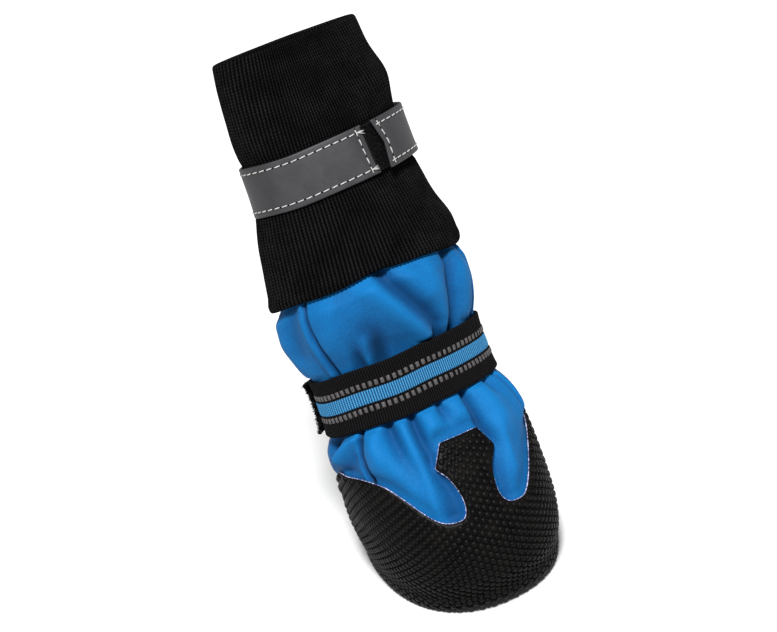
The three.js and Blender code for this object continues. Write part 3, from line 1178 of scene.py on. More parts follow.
@dataclass(frozen=True)
class ReflectiveTape:
    """Reflective tape: glass beads bonded in grey film.

    It gives the eye a smooth even grey with a fine sparkle of beads and faint smudges. The beads
    are 0.06 mm, too fine to show, so they are drawn at 0.45 mm.
    """

    film: str = "302F31"
    bead: str = "3C3B3E"
    bead_size: float = 0.45

    def material(self) -> Material:
        """Builds the material.

        Returns:
            The material.
        """
        material, add = new_material("reflective_tape_beaded")
        place = add("ShaderNodeTexCoord").outputs["Object"]
        beaded = {"Scale": 1000.0 / self.bead_size, "Detail": 1.0, "Roughness": 0.5}
        beads = add("ShaderNodeTexNoise", beaded, Vector=place)
        smudge = add("ShaderNodeTexNoise", {"Scale": 110.0, "Detail": 3.0, "Roughness": 0.55}, Vector=place)
        both = add("ShaderNodeMath", {"operation": "MULTIPLY_ADD", 1: 0.6}, _0=beads, _2=smudge)
        spread = add("ShaderNodeMapRange", {"From Min": 0.55, "From Max": 1.0}, Value=both)
        greys = {"data_type": "RGBA", 6: linear(self.film), 7: linear(self.bead)}
        colour = add("ShaderNodeMix", greys, _0=spread).outputs[2]
        rubbed = {"From Min": 0.3, "From Max": 0.7, "To Min": 0.5, "To Max": 0.62}
        roughness = add("ShaderNodeMapRange", rubbed, Value=smudge)
        bump = add("ShaderNodeBump", {"Strength": 0.25, "Distance": 0.00008}, Height=beads)
        shader = add(
            "ShaderNodeBsdfPrincipled",
            {"Metallic": 0.15, "Specular IOR Level": 0.3},
            Base_Color=colour,
            Roughness=roughness,
            Normal=bump,
        )
        add("ShaderNodeOutputMaterial", Surface=shader)
        return material


@dataclass(frozen=True)
class Fibre:
    """Spun or drawn fibre: sewing thread, hooks, loops, pile and a frayed cut edge.

    It gives the eye a soft surface with a little twist of light and dark along it, at a real
    ply's pitch.
    """

    name: str
    light: str
    dark: str
    ply: float = 0.5
    roughness: float = 0.75
    sheen: float = 0.2
    gloss: float = 0.35

    def material(self) -> Material:
        """Builds the material.

        Returns:
            The material.
        """
        material, add = new_material(self.name)
        place = add("ShaderNodeTexCoord").outputs["Object"]
        plied = {"Scale": 1000.0 / self.ply, "Detail": 2.0, "Roughness": 0.6}
        twist = add("ShaderNodeTexNoise", plied, Vector=place)
        spread = add("ShaderNodeMapRange", {"From Min": 0.35, "From Max": 0.65}, Value=twist)
        dyes = {"data_type": "RGBA", 6: linear(self.dark), 7: linear(self.light)}
        colour = add("ShaderNodeMix", dyes, _0=spread).outputs[2]
        bump = add("ShaderNodeBump", {"Strength": 0.5, "Distance": 0.0001}, Height=twist)
        soft = {"Roughness": self.roughness, "Specular IOR Level": self.gloss}
        soft |= {"Sheen Weight": self.sheen, "Sheen Roughness": 0.5}
        shader = add("ShaderNodeBsdfPrincipled", soft, Base_Color=colour, Normal=bump)
        add("ShaderNodeOutputMaterial", Surface=shader)
        return material


@dataclass(frozen=True)
class PaperFloor:
    """Seamless white paper, which gives a clean pale ground with a soft shadow."""

    paper: str = "D2D2D2"

    def material(self) -> Material:
        """Builds the material.

        Returns:
            The material.
        """
        material, add = new_material("studio_paper")
        matt = {"Base Color": linear(self.paper), "Roughness": 0.9, "Specular IOR Level": 0.1}
        add("ShaderNodeOutputMaterial", Surface=add("ShaderNodeBsdfPrincipled", matt))
        return material


@dataclass(frozen=True)
class Finishes:
    """Every finish on the boot, built once."""

    softshell: Material
    knit: Material
    overlay: Material
    sole: Material
    webbing: Material
    stripe: Material
    dash: Material
    tape: Material
    thread: Material
    touch: Material
    cut_edge: Material
    lining: Material
    pile: Material

    @staticmethod
    def build() -> "Finishes":
        """Builds the set.

        Returns:
            The finishes, each with its material.
        """
        rib = 2.0 * math.pi * MEAN_RADIUS / AnkleWebbing.ribs
        return Finishes(
            softshell=Softshell().material(),
            knit=RibKnit().material(),
            overlay=MouldedRubber().material(),
            sole=MouldedRubber("rubber_sole_moulded", "0C0B0B", "151413", 0.5).material(),
            webbing=Weave("webbing_woven_black", "181719", "010101", rib, 0.9, 0.85, 0.25, 0.8).material(),
            stripe=Weave("webbing_woven_blue", "4C9AC6", "0B3460", rib, 0.75, 0.7, 0.2, 0.3).material(),
            dash=Fibre("reflective_yarn", "555151", "353233", 0.6, 0.6, 0.0).material(),
            tape=ReflectiveTape().material(),
            thread=Fibre("sewing_thread_spun", "C2C1BF", "8E8D8C", 0.4).material(),
            touch=Fibre("hook_and_loop_nylon", "0E0E0F", "020202", 0.5, 0.7, 0.0, 0.12).material(),
            cut_edge=Fibre("cut_edge_frayed", "BCBBDC", "1E3368", 1.0).material(),
            lining=Fibre("lining_brushed_fleece", "2A2B30", "151619", 0.8, 0.95, 0.3).material(),
            pile=Fibre("insole_fleece_pile", "3A3B41", "1B1C20", 0.9, 0.95, 0.4).material(),
        )


# ---- The upper ----


@dataclass
class SoftshellUpper:
    """The blue cloth of the foot and ankle, gathered by the webbing and by the cuff's seam.

    Attributes:
        form: The form it is laid on.
        edge: The overlay's outline, which holds the cloth down inside it.
        wall: The cloth's thickness.
        folds: The folds of the cloth.
        seams: The side seams and their raised edges.
    """

    form: BootForm
    edge: "OverlayEdge"
    wall: float = 1.6
    folds: tuple[Fold, ...] = (
        # Between the webbing and the cuff, from the left of the front to the right. A crest runs
        # down from the hem to the middle of the webbing, with a hollow on either side of it.
        Fold(((-22, 128), (-12, 119), (-3, 110), (13, 97)), 5.4, 3.4),
        Fold(((-12, 131), (-5, 122), (6, 111), (20, 99), (22, 92)), 3.8, -4.6),
        Fold(((-40, 116), (-26, 105), (-14, 96)), 7.0, -1.8, 0.4),
        Fold(((8, 126), (18, 114)), 4.8, 1.7),
        Fold(((24, 126), (26, 112), (28, 98)), 4.6, 1.7),
        Fold(((49, 128), (39, 112), (36, 92)), 3.1, -3.2),
        Fold(((55, 115), (53, 100)), 5.5, 1.9),
        Fold(((-39, 110), (-44, 98), (-46, 90)), 3.0, -3.6, 0.9),
        Fold(((-24, 112), (-28, 98), (-30, 90)), 4.4, -4.4, 0.9),
        Fold(((-35, 104), (-38, 95)), 2.6, 1.0),
        Fold(((-48, 124), (-56, 108)), 5.0, 1.0),
        Fold(((-76, 128), (-82, 108)), 4.6, -1.8),
        Fold(((-90, 112), (-84, 98)), 6.0, 1.4),
        Fold(((-95, 134), (-95, 118)), 13.0, 0.9),
        Fold(((84, 130), (78, 116)), 8.0, -1.3),
        # The same band at the back, gathered more evenly.
        Fold(((90, 114), (84, 130)), 3.4, -2.2, 0.8),
        Fold(((96, 110), (100, 93)), 2.8, -2.4, 0.8),
        Fold(((118, 121), (112, 98)), 5.0, 1.6),
        Fold(((128, 118), (134, 131)), 3.4, -2.2, 0.8),
        Fold(((140, 109), (142, 93)), 2.8, -2.4, 0.8),
        Fold(((158, 120), (160, 98)), 5.4, 1.4),
        Fold(((174, 112), (172, 93)), 2.8, -2.4, 0.8),
        Fold(((192, 118), (190, 131)), 3.2, -2.2, 0.8),
        Fold(((206, 120), (200, 99)), 5.2, 1.5),
        Fold(((218, 110), (214, 93)), 2.8, -2.4, 0.8),
        Fold(((243, 114), (238, 131)), 3.4, -2.2, 0.8),
        Fold(((252, 107), (254, 93)), 2.6, -2.2, 0.8),
        Fold(((264, 120), (266, 100)), 5.0, 1.3),
        # Below the webbing: pleats from under its edge, and the rounds between them.
        Fold(((-50, 67), (-49, 58)), 4.6, 3.0),
        Fold(((-26, 39), (-33, 47), (-41, 57), (-50, 63)), 4.0, 2.0, 0.6),
        Fold(((-26, 46), (-35, 57), (-40.5, 67), (-41, 75)), 2.8, -3.6, 0.8),
        Fold(((-25, 47), (-27, 57), (-31, 69)), 3.0, 2.6, 0.6),
        Fold(((-20.5, 46), (-20, 55), (-22, 66), (-22, 75)), 2.4, -3.8, 0.6),
        Fold(((-10, 57), (-11, 69)), 4.6, 3.0, 0.5),
        Fold(((2, 60), (1.5, 66), (1, 75)), 2.2, -2.6, 0.6),
        Fold(((11, 58), (11, 70)), 4.6, 2.0, 0.5),
        Fold(((22, 46), (21, 56), (22, 62), (26, 75)), 2.1, -4.0, 0.4),
        Fold(((34, 48), (37, 62), (37, 70)), 5.4, 2.8, 0.4),
        Fold(((19, 38), (30, 54)), 2.8, 1.4, 0.4),
        Fold(((11, 36), (17, 52)), 2.0, -2.0),
        Fold(((60, 67), (60, 54)), 8.0, 1.7),
        Fold(((46, 60), (49, 75)), 2.5, -2.6, 0.7),
        Fold(((-24, 51), (-26, 37)), 2.4, 1.6),
        Fold(((-16, 50), (-17, 36)), 4.0, -2.6),
        # The crease that runs back from the seam under the webbing.
        Fold(((-88, 58), (-70, 66), (-62, 69)), 2.4, 3.2, 0.3),
        Fold(((-96, 61), (-84, 69), (-74, 76)), 3.2, -4.2, 0.4),
        Fold(((-66, 60), (-78, 55)), 2.8, -1.6),
        Fold(((-108, 60), (-104, 72)), 3.0, -2.0, 0.8),
        Fold(((80, 74), (84, 63)), 2.8, -2.6),
        Fold(((98, 69), (100, 58)), 4.8, 1.8),
        Fold(((114, 60), (112, 74)), 2.8, -2.6, 0.8),
        Fold(((128, 67), (130, 48)), 5.6, 1.8),
        Fold(((145, 62), (144, 74)), 2.8, -2.4, 0.8),
        Fold(((160, 69), (160, 44)), 5.6, 1.7),
        Fold(((172, 60), (173, 74)), 2.8, -2.4, 0.8),
        Fold(((198, 69), (199, 44)), 5.6, 1.7),
        Fold(((213, 61), (212, 74)), 2.8, -2.4, 0.8),
        Fold(((230, 67), (229, 48)), 5.6, 1.8),
    )
    seams: tuple[Fold, ...] = (
        Fold(((-64.8, 132), (-64.4, 118), (-62.6, 105), (-62.6, 92)), 0.85, -2.3),
        Fold(((-68, 131), (-67.4, 113), (-66.4, 96)), 1.6, 1.1),
        Fold(((-60, 74), (-60, 61), (-57.4, 48)), 1.1, -3.2),
        Fold(((-64, 68), (-61.6, 52)), 1.5, 0.8),
        Fold(((64.8, 132), (62.6, 92)), 0.7, -1.6),
        Fold(((67.6, 131), (65.4, 96)), 1.4, 0.8),
        Fold(((60, 74), (57.4, 48)), 0.7, -1.5),
        Fold(((63.2, 70), (61, 52)), 1.3, 0.6),
        Fold(((180, 92), (180, 132)), 0.7, -1.3, 0.8),
        Fold(((180, 20), (180, 74)), 0.7, -1.3, 0.8),
    )

    def lift(self, angle: Array, station: Array) -> Array:
        """How far the cloth stands from the form.

        Args:
            angle: Angles round the boot, in degrees.
            station: Stations along it.

        Returns:
            Distances in millimetres.
        """
        s = self.form.sizes
        below = s.hem + s.hem_droop(angle) - station
        strap_middle = s.ankle + s.webbing_width / 2.0
        away = self.edge.distance(angle, station)
        folds = fold_height(self.folds, angle, station)
        folds = folds + 0.14 * Ripple(SEED, (3, 8), (18.0, 44.0))(angle, station)
        front = np.exp(-((turn_between(angle, -5.0) / 55.0) ** 2))
        bag = smoothstep(below, 1.4, 8.5) * (1.0 - smoothstep(below, 7.0, 34.0))
        roll = (0.9 + 1.5 * front) * bag
        puff = 1.3 * smoothstep(away, 0.4, 6.0) * (1.0 - smoothstep(station, 60.0, 72.0))
        free = smoothstep(np.abs(station - strap_middle), 12.2, 15.6)
        free = free * smoothstep(below, 1.6, 6.5) * smoothstep(away, 0.2, 4.0)
        raised = (np.maximum(folds, 0.0) + roll + puff) * free
        sunk = np.minimum(folds, 0.0) * smoothstep(away, -0.5, 2.0)
        seams = fold_height(self.seams, angle, station) * smoothstep(away, -1.0, 1.0)
        tuck = -0.8 * (1.0 - smoothstep(below, 1.6, 3.4))
        return raised + sunk + seams * smoothstep(below, 0.5, 1.5) + tuck

    def build(self, finishes: Finishes) -> Object:
        """Builds the upper, its face outside and its fleece inside.

        Args:
            finishes: The boot's finishes.

        Returns:
            The upper.
        """
        top = self.form.sizes.hem + 0.5
        rows = np.concatenate([np.arange(0.8, 24.0, 2.4), np.arange(24.0, top - 0.6, 0.62)])
        face = np.column_stack([rows, np.zeros_like(rows), np.ones_like(rows)])
        edges = profile(0.0, top, -self.wall, 0.0, 2, 44)
        section = np.concatenate([face, edges[2:]])
        wall = Wall(
            self.form,
            np.arange(0.0, 360.0, 1.2),
            section,
            lift=self.lift,
            sink=lambda angle, station: np.minimum(self.lift(angle, station), 0.0),
        )
        made = wall.build(
            "upper_softshell",
            [finishes.softshell, finishes.lining],
            lambda station, share: np.where(share < 0.45, 1, 0),
        )
        # Painted light and shade: the fold and seam heights are kept on the cloth as a point attribute,
        # from which the softshell's colour is paler on the rounds and darker in the hollows and seams.
        angle, station = np.meshgrid(wall.angles, wall.section[:, 0])
        fold_shade_depth = fold_height(self.folds, angle, station) / 7.0
        fold_shade_depth = fold_shade_depth + np.minimum(fold_height(self.seams, angle, station), 0.0) / 2.5
        nap = np.clip(0.5 + fold_shade_depth, -0.5, 1.0)
        made.data.attributes.new("nap", "FLOAT", "POINT").data.foreach_set("value", nap.ravel())
        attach(made, "root")
        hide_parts("upper")
        return made


# ---- The overlay ----


@dataclass(frozen=True)
class Nubs:
    """The rubber's round nubs.

    Attributes:
        pitch: The distance between nubs in a column that runs up the boot.
        column_pitch: The distance between columns.
        radius: A nub's radius.
        height: How far a nub stands up.
    """

    pitch: float = 3.05
    column_pitch: float = 2.46
    radius: float = 1.44
    height: float = 0.95


@dataclass
class OverlayEdge:
    """The overlay's outline on the form.

    Attributes:
        low: Station of its lower edge.
        head: Angle and station of the tongue's straight-sided head, from its left neck over its
            top to its right neck.
        right: Angle and station from the right neck round the notch and along the wing to the
            heel.
        left: The same on the left.
        line: The whole top edge, from the heel round by the left to the heel again.
    """

    low: float = 4.7
    head: tuple[tuple[float, float], ...] = (
        (-14.6, 48.6), (-19.4, 51.6), (-10.8, 57.6), (16.2, 57.2), (19.6, 50.8), (13.2, 47.6),
    )
    right: tuple[tuple[float, float], ...] = (
        (10.2, 45), (8, 41.4), (7.8, 38.2), (10, 35.7), (14.5, 34.7), (19.5, 34.5), (24, 35.8),
        (30, 38.4), (37.5, 41.8), (48, 45.8), (62, 49.6), (78, 52.6), (92, 54), (108, 47),
        (130, 37), (155, 29), (180, 27),
    )
    left: tuple[tuple[float, float], ...] = (
        (-12.2, 45.2), (-11, 41.6), (-11.6, 38.4), (-13.6, 36.4), (-17.5, 35.9), (-22, 36.2),
        (-26.4, 37.3), (-32.8, 40.5), (-42, 45.8), (-52.2, 50.4), (-66.2, 53.2), (-79.2, 53.8),
        (-92, 54), (-108, 47), (-130, 37), (-155, 29), (-180, 27),
    )
    line: Array = field(init=False)

    def __post_init__(self) -> None:
        """Draws the outline through its points, with the head's corners only a little rounded."""
        head = np.array(self.head)
        straight = [
            a + (b - a) * t for a, b in zip(head, head[1:]) for t in np.linspace(0, 1, 16, endpoint=False)
        ]
        left = self._curved([self.head[0], *self.left])[::-1]
        right = self._curved([self.head[-1], *self.right])
        line = np.array([*left, *straight, *right])
        steps = np.linalg.norm(np.diff(line * FLAT, axis=0), axis=1)
        at = np.concatenate([[0.0], np.cumsum(steps)])
        even = np.arange(0.0, at[-1], 0.35)
        smooth = np.stack([np.interp(even, at, line[:, k]) for k in (0, 1)], axis=1)
        kernel = np.exp(-((np.arange(-6, 7) * 0.35 / 0.7) ** 2))
        kernel /= kernel.sum()
        padded = np.pad(smooth, ((6, 6), (0, 0)), mode="edge")
        smooth = np.stack([np.convolve(padded[:, k], kernel, "valid") for k in (0, 1)], axis=1)
        smooth[0], smooth[-1] = self.left[-1], self.right[-1]
        self.line = smooth

    @staticmethod
    def _curved(corners: Sequence[tuple[float, float]]) -> list[Array]:
        """A smooth curve through a row of points, both ends included.

        Args:
            corners: The points, as angles and stations.

        Returns:
            Points close together along the curve.
        """
        points = [np.array(p) for p in corners]
        points = [2 * points[0] - points[1], *points, 2 * points[-1] - points[-2]]
        curved = []
        for a, b, c, d in zip(points, points[1:], points[2:], points[3:]):
            for t in np.linspace(0.0, 1.0, 24, endpoint=False):
                bent = 2 * b + (c - a) * t + (2 * a - 5 * b + 4 * c - d) * t**2
                curved.append(0.5 * (bent + (3 * b - a - 3 * c + d) * t**3))
        return [*curved, points[-2]]

    def outline(self) -> Array:
        """The whole closed outline, lower edge and all.

        Returns:
            An angle and a station for each point.
        """
        count = 300
        low = np.stack([np.linspace(-180.0, 180.0, count), np.full(count, self.low)], axis=1)
        rise = np.linspace(self.low, self.line[-1, 1], 22)[1:-1]
        right = np.stack([np.full(len(rise), 180.0), rise], axis=1)
        left = np.stack([np.full(len(rise), -180.0), rise[::-1]], axis=1)
        return np.concatenate([low, right, self.line[::-1], left])

    def distance(self, angle: Array, station: Array) -> Array:
        """How far outside the outline's top edge a place is, in millimetres; below 0 inside it.

        Args:
            angle: Angles round the boot, in degrees.
            station: Stations along it.

        Returns:
            Distances in millimetres.
        """
        turned = turn_between(angle, 0.0)
        places = np.stack([turned.ravel(), np.asarray(station, float).ravel()], axis=1)
        near = places[:, 1] < 78.0
        line = self.line[::2] * FLAT
        result = np.full(len(places), 20.0)
        found = places[near]
        flat = found * FLAT
        least = np.full(len(found), np.inf)
        for a, b in zip(line, line[1:]):
            run = b - a
            t = np.clip(((flat - a) @ run) / max(run @ run, 1e-9), 0.0, 1.0)
            gap = flat - a - t[:, None] * run
            least = np.minimum(least, gap[:, 0] ** 2 + gap[:, 1] ** 2)
        inside = self.covers(found[:, 0], found[:, 1])
        result[near] = np.sqrt(least) * np.where(inside, -1.0, 1.0)
        return result.reshape(np.shape(turned))

    def covers(self, angle: Array, station: Array) -> Array:
        """Whether each place is inside the outline.

        Args:
            angle: Angles round the boot, in degrees.
            station: Stations along it.

        Returns:
            True or False for each place.
        """
        loop = self.outline()
        inside = np.zeros(len(angle), bool)
        for (x0, y0), (x1, y1) in zip(loop, np.roll(loop, -1, axis=0)):
            if y0 == y1:
                continue
            crosses = ((y0 > station) != (y1 > station)) & (
                angle < (x1 - x0) * (station - y0) / (y1 - y0) + x0
            )
            inside ^= crosses
        return inside | (station < self.low)


@dataclass
class RubberOverlay:
    """The rubber overlay: a die-cut sheet round the foot, covered in round nubs.

    Attributes:
        form: The form it is laid on.
        edge: Its outline.
        inner: Distance of its back from the form.
        face: Distance of its face from the form, between the nubs.
        nubs: Its nubs.
        step: The spacing of the sheet's own points.
    """

    form: BootForm
    edge: OverlayEdge
    inner: float = 0.35
    face: float = 1.3
    nubs: Nubs = Nubs()
    step: float = 1.2

    def build(self, finishes: Finishes, repeater: Repeater) -> list[Object]:
        """Builds the sheet, its nubs and its cut edge.

        Args:
            finishes: The boot's finishes.
            repeater: What repeats the nubs.

        Returns:
            The three pieces.
        """
        sheet = self._sheet(finishes)
        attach(sheet, "root")
        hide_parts("toe_overlay")
        nubs = self._nubs(finishes, repeater)
        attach(nubs, "root")
        cut = self._cut_edge(finishes)
        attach(cut, "root")
        return [sheet, nubs, cut]

    def laid(self, flat: Array, distance: float) -> Array:
        """Points of the rubber, which wrinkles a little.

        Args:
            flat: The angle and station of each point.
            distance: How far they are from the form.

        Returns:
            The points.
        """
        wrinkle = 0.12 * Ripple(SEED + 1, (2, 7), (12.0, 30.0))(flat[:, 0], flat[:, 1])
        return self.form.offset(flat[:, 0], flat[:, 1], distance + wrinkle)

    def _sheet(self, finishes: Finishes) -> Object:
        """The sheet, triangulated inside its outline, closed on itself at the heel.

        Args:
            finishes: The boot's finishes.

        Returns:
            The sheet.
        """
        loop = self.edge.outline()
        x = np.arange(-180.0 + 1.8, 180.0 - 0.9, self.step / FLAT[0])
        y = np.arange(self.edge.low + 1.0, 66.0, self.step)
        grid = np.stack(np.meshgrid(x, y), axis=-1).reshape(-1, 2)
        inside = self.edge.covers(grid[:, 0], grid[:, 1])
        clear = self.edge.distance(grid[:, 0], grid[:, 1]) < -0.7
        grid = grid[inside & clear]
        places = np.concatenate([loop, grid]) * FLAT
        count = len(loop)
        edges = [(i, (i + 1) % count) for i in range(count)]
        found = delaunay_2d_cdt([Vector(p) for p in places], edges, [], 1, 1e-6)
        flat = np.array([list(p) for p in found[0]]) / FLAT
        triangles = np.array(found[2])
        # The two sides of the cut at the heel are one line on the form.
        at_right = np.abs(flat[:, 0] - 180.0) < 1e-3
        at_left = np.abs(flat[:, 0] + 180.0) < 1e-3
        partner = np.arange(len(flat))
        for i in np.flatnonzero(at_left):
            matches = np.flatnonzero(at_right)
            partner[i] = matches[np.argmin(np.abs(flat[matches, 1] - flat[i, 1]))]
        triangles = partner[triangles]
        used, triangles = np.unique(triangles, return_inverse=True)
        triangles = triangles.reshape(-1, 3)
        flat = flat[used]
        outer, inner = self.laid(flat, self.face), self.laid(flat, self.inner)
        count = len(flat)
        directed = {(int(a), int(b)) for t in triangles for a, b in zip(t, np.roll(t, -1))}
        sides = [[b, a, count + a, count + b] for a, b in directed if (b, a) not in directed]
        faces = [*triangles.tolist(), *(triangles[:, ::-1] + count).tolist(), *sides]
        made = mesh_object("toe_overlay_sheet", np.concatenate([outer, inner]), faces, [finishes.overlay])
        sharp = [len(face) == 4 for face in faces]
        made.data.polygons.foreach_set("use_smooth", ~np.array(sharp))
        return made

    def _rows(self) -> tuple[Array, Array]:
        """Angles from the front to the heel, and each nub row's stations at them.

        The rows are an even distance apart along the rubber, up from its lower edge, so the nubs
        keep their pitch where the toe slopes.

        Returns:
            The angles, and a row of stations for each row of nubs.
        """
        angles = np.linspace(0.0, 180.0, 361)
        stations = np.arange(self.edge.low, 66.5, 0.25)
        grid = self.form.offset(*np.meshgrid(angles, stations), self.face)
        climb = np.linalg.norm(np.diff(grid, axis=0), axis=-1)
        climb = np.concatenate([np.zeros((1, len(angles))), np.cumsum(climb, axis=0)])
        heights = np.arange(0.0, climb.max(), self.nubs.pitch / 2.0)
        rows = np.array(
            [[np.interp(h, climb[:, i], stations) for i in range(len(angles))] for h in heights]
        )
        return angles, rows

    def _nubs(self, finishes: Finishes, repeater: Repeater) -> Object:
        """The nubs, in columns along the boot with every other column half a pitch up.

        Args:
            finishes: The boot's finishes.
            repeater: What repeats the nubs.

        Returns:
            All the nubs, in one object.
        """
        angles, rows = self._rows()
        step = 2.0 * self.nubs.column_pitch
        places = []
        for number, row in enumerate(rows):
            line = self.form.offset(angles, row, self.face)
            length = np.concatenate([[0.0], np.cumsum(np.linalg.norm(np.diff(line, axis=0), axis=1))])
            first = 0.0 if number % 2 == 0 else self.nubs.column_pitch
            at = np.arange(first, length[-1] - self.nubs.radius, step)
            angle = np.interp(at, length, angles)
            station = np.interp(at, length, row)
            places.append(np.stack([angle, station], axis=1))
            mirrored = at > 1e-6
            places.append(np.stack([-angle[mirrored], station[mirrored]], axis=1))
        flat = np.concatenate(places)
        away = self.edge.distance(flat[:, 0], flat[:, 1])
        kept = (away < -0.8) & (flat[:, 1] < 66.0)
        flat, away = flat[kept], away[kept]
        points = self.laid(flat, self.face)
        facing = self.form.normal(flat[:, 0], flat[:, 1])
        up = self.form.point(flat[:, 0], flat[:, 1] + 0.5) - self.form.point(flat[:, 0], flat[:, 1])
        draw = np.random.default_rng(SEED)
        size = np.clip(-away / self.nubs.radius, 0.72, 1.0) * draw.uniform(0.96, 1.03, len(flat))
        guide = guide_mesh(
            "nub_places", points, facing, size, twist_towards(facing, up) + math.radians(30.0)
        )
        shape = dome("nub", self.nubs.radius, self.nubs.height, 8)
        return repeater.place("toe_overlay_nubs", guide, shape, finishes.overlay)

    def _cut_edge(self, finishes: Finishes) -> Object:
        """The frayed backing that shows pale along the sheet's top edge.

        Args:
            finishes: The boot's finishes.

        Returns:
            The edge.
        """
        line = self.edge.line[1:-1]
        draw = np.random.default_rng(SEED + 2)
        path = self.form.offset(line[:, 0], line[:, 1], np.full(len(line), 0.75))
        radii = np.clip(draw.normal(0.22, 0.09, len(line)), 0.06, 0.36)
        points, faces = rod(path, radii, 5)
        return mesh_object("toe_overlay_cut_edge", points, faces, [finishes.cut_edge])


# ---- The sole ----


@dataclass
class RubberOutsole:
    """The outsole: a shallow dish with nubs underneath and round its rim.

    Attributes:
        form: The form, which has the toe's curve.
        recess: How far the underside lies in from its nubs' tops.
        tread_pitch: The distance between nubs underneath.
        nubs: The nubs round its rim, as on the overlay above it.
        tread: How far in from the outline the flat of the tread ends.
        rim: The rim's outside as distances in from the outline and heights, from the bottom up.
    """

    form: BootForm
    recess: float = 0.55
    tread_pitch: float = 3.1
    nubs: Nubs = Nubs()
    tread: float = 5.0
    rim: tuple[tuple[float, float], ...] = (
        (3.95, 0.8), (2.95, 1.55), (2.45, 2.6), (2.05, 4.2), (1.85, 6.9), (1.9, 7.4),
    )

    def ring(self, inset: float, height: float, scale: float, turns: Array) -> Array:
        """A ring of the sole's outline.

        Args:
            inset: How far it is drawn in, in millimetres.
            height: Its height above the underside's curve.
            scale: Its scale about the middle.
            turns: Angles of its points, in degrees.

        Returns:
            Points in millimetres.
        """
        s = self.form.sizes
        turn = np.radians(turns)
        across = np.abs(np.sin(turn)) / (s.sole_width / 2.0 - inset)
        along = np.abs(np.cos(turn)) / (s.sole_length / 2.0 - inset)
        power = s.foot_squareness
        r = scale * (across**power + along**power) ** (-1.0 / power)
        ahead = r * np.cos(turn)
        return np.stack([r * np.sin(turn), -ahead, height + self.form.toe_lift(ahead)], axis=-1)

    def build(self, finishes: Finishes, repeater: Repeater) -> list[Object]:
        """Builds the dish and its nubs.

        Args:
            finishes: The boot's finishes.
            repeater: What repeats the nubs.

        Returns:
            The two pieces.
        """
        d = self.recess
        s = self.form.sizes
        rings = [
            *[(self.tread, d, share) for share in (0.12, 0.3, 0.5, 0.7, 0.88, 1.0)],
            *[(inset, height, 1.0) for inset, height in self.rim],
            (2.3, s.rim_height, 1.0),
            (2.7, s.rim_height - 0.1, 1.0),
            (2.9, s.rim_height - 0.7, 1.0),
            (3.2, 4.5, 1.0),
            (3.5, s.sole_thickness, 1.0),
            *[(self.tread, s.sole_thickness, share) for share in (0.9, 0.7, 0.5, 0.3, 0.12)],
        ]
        turns = np.arange(0.0, 360.0, 2.5)
        drawn = [self.ring(*ring, turns) for ring in rings]
        dish = ring_stack("outsole_dish", drawn, (d, s.sole_thickness), finishes.sole)
        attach(dish, "root")
        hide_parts("outsole")
        nubs = self._nubs(finishes, repeater)
        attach(nubs, "root")
        return [dish, nubs]

    def _tread(self) -> tuple[Array, Array]:
        """Places and directions of the nubs under the sole.

        Returns:
            The places and the directions.
        """
        s = self.form.sizes
        across = np.arange(-14, 15) * self.tread_pitch * math.sqrt(3.0) / 2.0
        places = []
        for number, x in enumerate(across):
            shift = 0.5 * (number % 2)
            y = (np.arange(-18, 19) + shift) * self.tread_pitch
            places.append(np.stack([np.full_like(y, x), y], axis=1))
        flat = np.concatenate(places)
        power = s.foot_squareness
        reach = (np.abs(flat[:, 0]) / (s.sole_width / 2.0 - self.tread - 0.4)) ** power
        reach += (np.abs(flat[:, 1]) / (s.sole_length / 2.0 - self.tread - 0.4)) ** power
        flat = flat[reach < 1.0]
        ahead = -flat[:, 1]
        under = np.column_stack([flat, self.recess + self.form.toe_lift(ahead)])
        slope = (self.form.toe_lift(ahead + 0.5) - self.form.toe_lift(ahead - 0.5))[:, None]
        down = np.concatenate([np.zeros((len(flat), 1)), -slope, -np.ones((len(flat), 1))], axis=1)
        return under, down / np.linalg.norm(down, axis=1, keepdims=True)

    def _rim_nubs(self) -> tuple[Array, Array]:
        """Places and directions of the rim's nubs, which carry the overlay's pattern on down.

        Returns:
            The places and the directions.
        """
        path = np.array(self.rim[::-1])
        run = np.concatenate([[0.0], np.cumsum(np.linalg.norm(np.diff(path, axis=0), axis=1))])
        fine = np.linspace(0.0, 180.0, 721)
        points, facing = [], []
        for number, at in enumerate(np.arange(0.9, run[-1] - 0.6, self.nubs.pitch / 2.0)):
            inset, height = (float(np.interp(at, run, path[:, k])) for k in (0, 1))
            before, after = (
                np.array([np.interp(at + d, run, path[:, k]) for k in (0, 1)]) for d in (-0.5, 0.5)
            )
            inwards, downwards = after - before
            line = self.ring(inset, height, 1.0, fine)
            length = np.concatenate([[0.0], np.cumsum(np.linalg.norm(np.diff(line, axis=0), axis=1))])
            first = self.nubs.column_pitch if number % 2 == 0 else 0.0
            at_side = np.arange(first, length[-1] - self.nubs.radius, 2.0 * self.nubs.column_pitch)
            turns = np.interp(at_side, length, fine)
            turns = np.concatenate([turns, -turns[at_side > 1e-6]])
            along = self.ring(inset, height, 1.0, turns + 0.5) - self.ring(inset, height, 1.0, turns - 0.5)
            out = np.cross(along, (0.0, 0.0, 1.0))
            out /= np.linalg.norm(out, axis=1, keepdims=True)
            out = out * -downwards
            out[:, 2] -= inwards
            points.append(self.ring(inset, height, 1.0, turns))
            facing.append(out / np.linalg.norm(out, axis=1, keepdims=True))
        return np.concatenate(points), np.concatenate(facing)

    def _nubs(self, finishes: Finishes, repeater: Repeater) -> Object:
        """The nubs under the sole and round its rim.

        Args:
            finishes: The boot's finishes.
            repeater: What repeats the nubs.

        Returns:
            All the nubs, in one object.
        """
        under, down = self._tread()
        rim, out = self._rim_nubs()
        size = np.concatenate([np.full(len(under), self.recess / self.nubs.height), np.ones(len(rim))])
        guide = guide_mesh(
            "sole_nub_places", np.concatenate([under, rim]), np.concatenate([down, out]), size
        )
        shape = dome("sole_nub", self.nubs.radius, self.nubs.height, 8)
        return repeater.place("outsole_nubs", guide, shape, finishes.overlay)


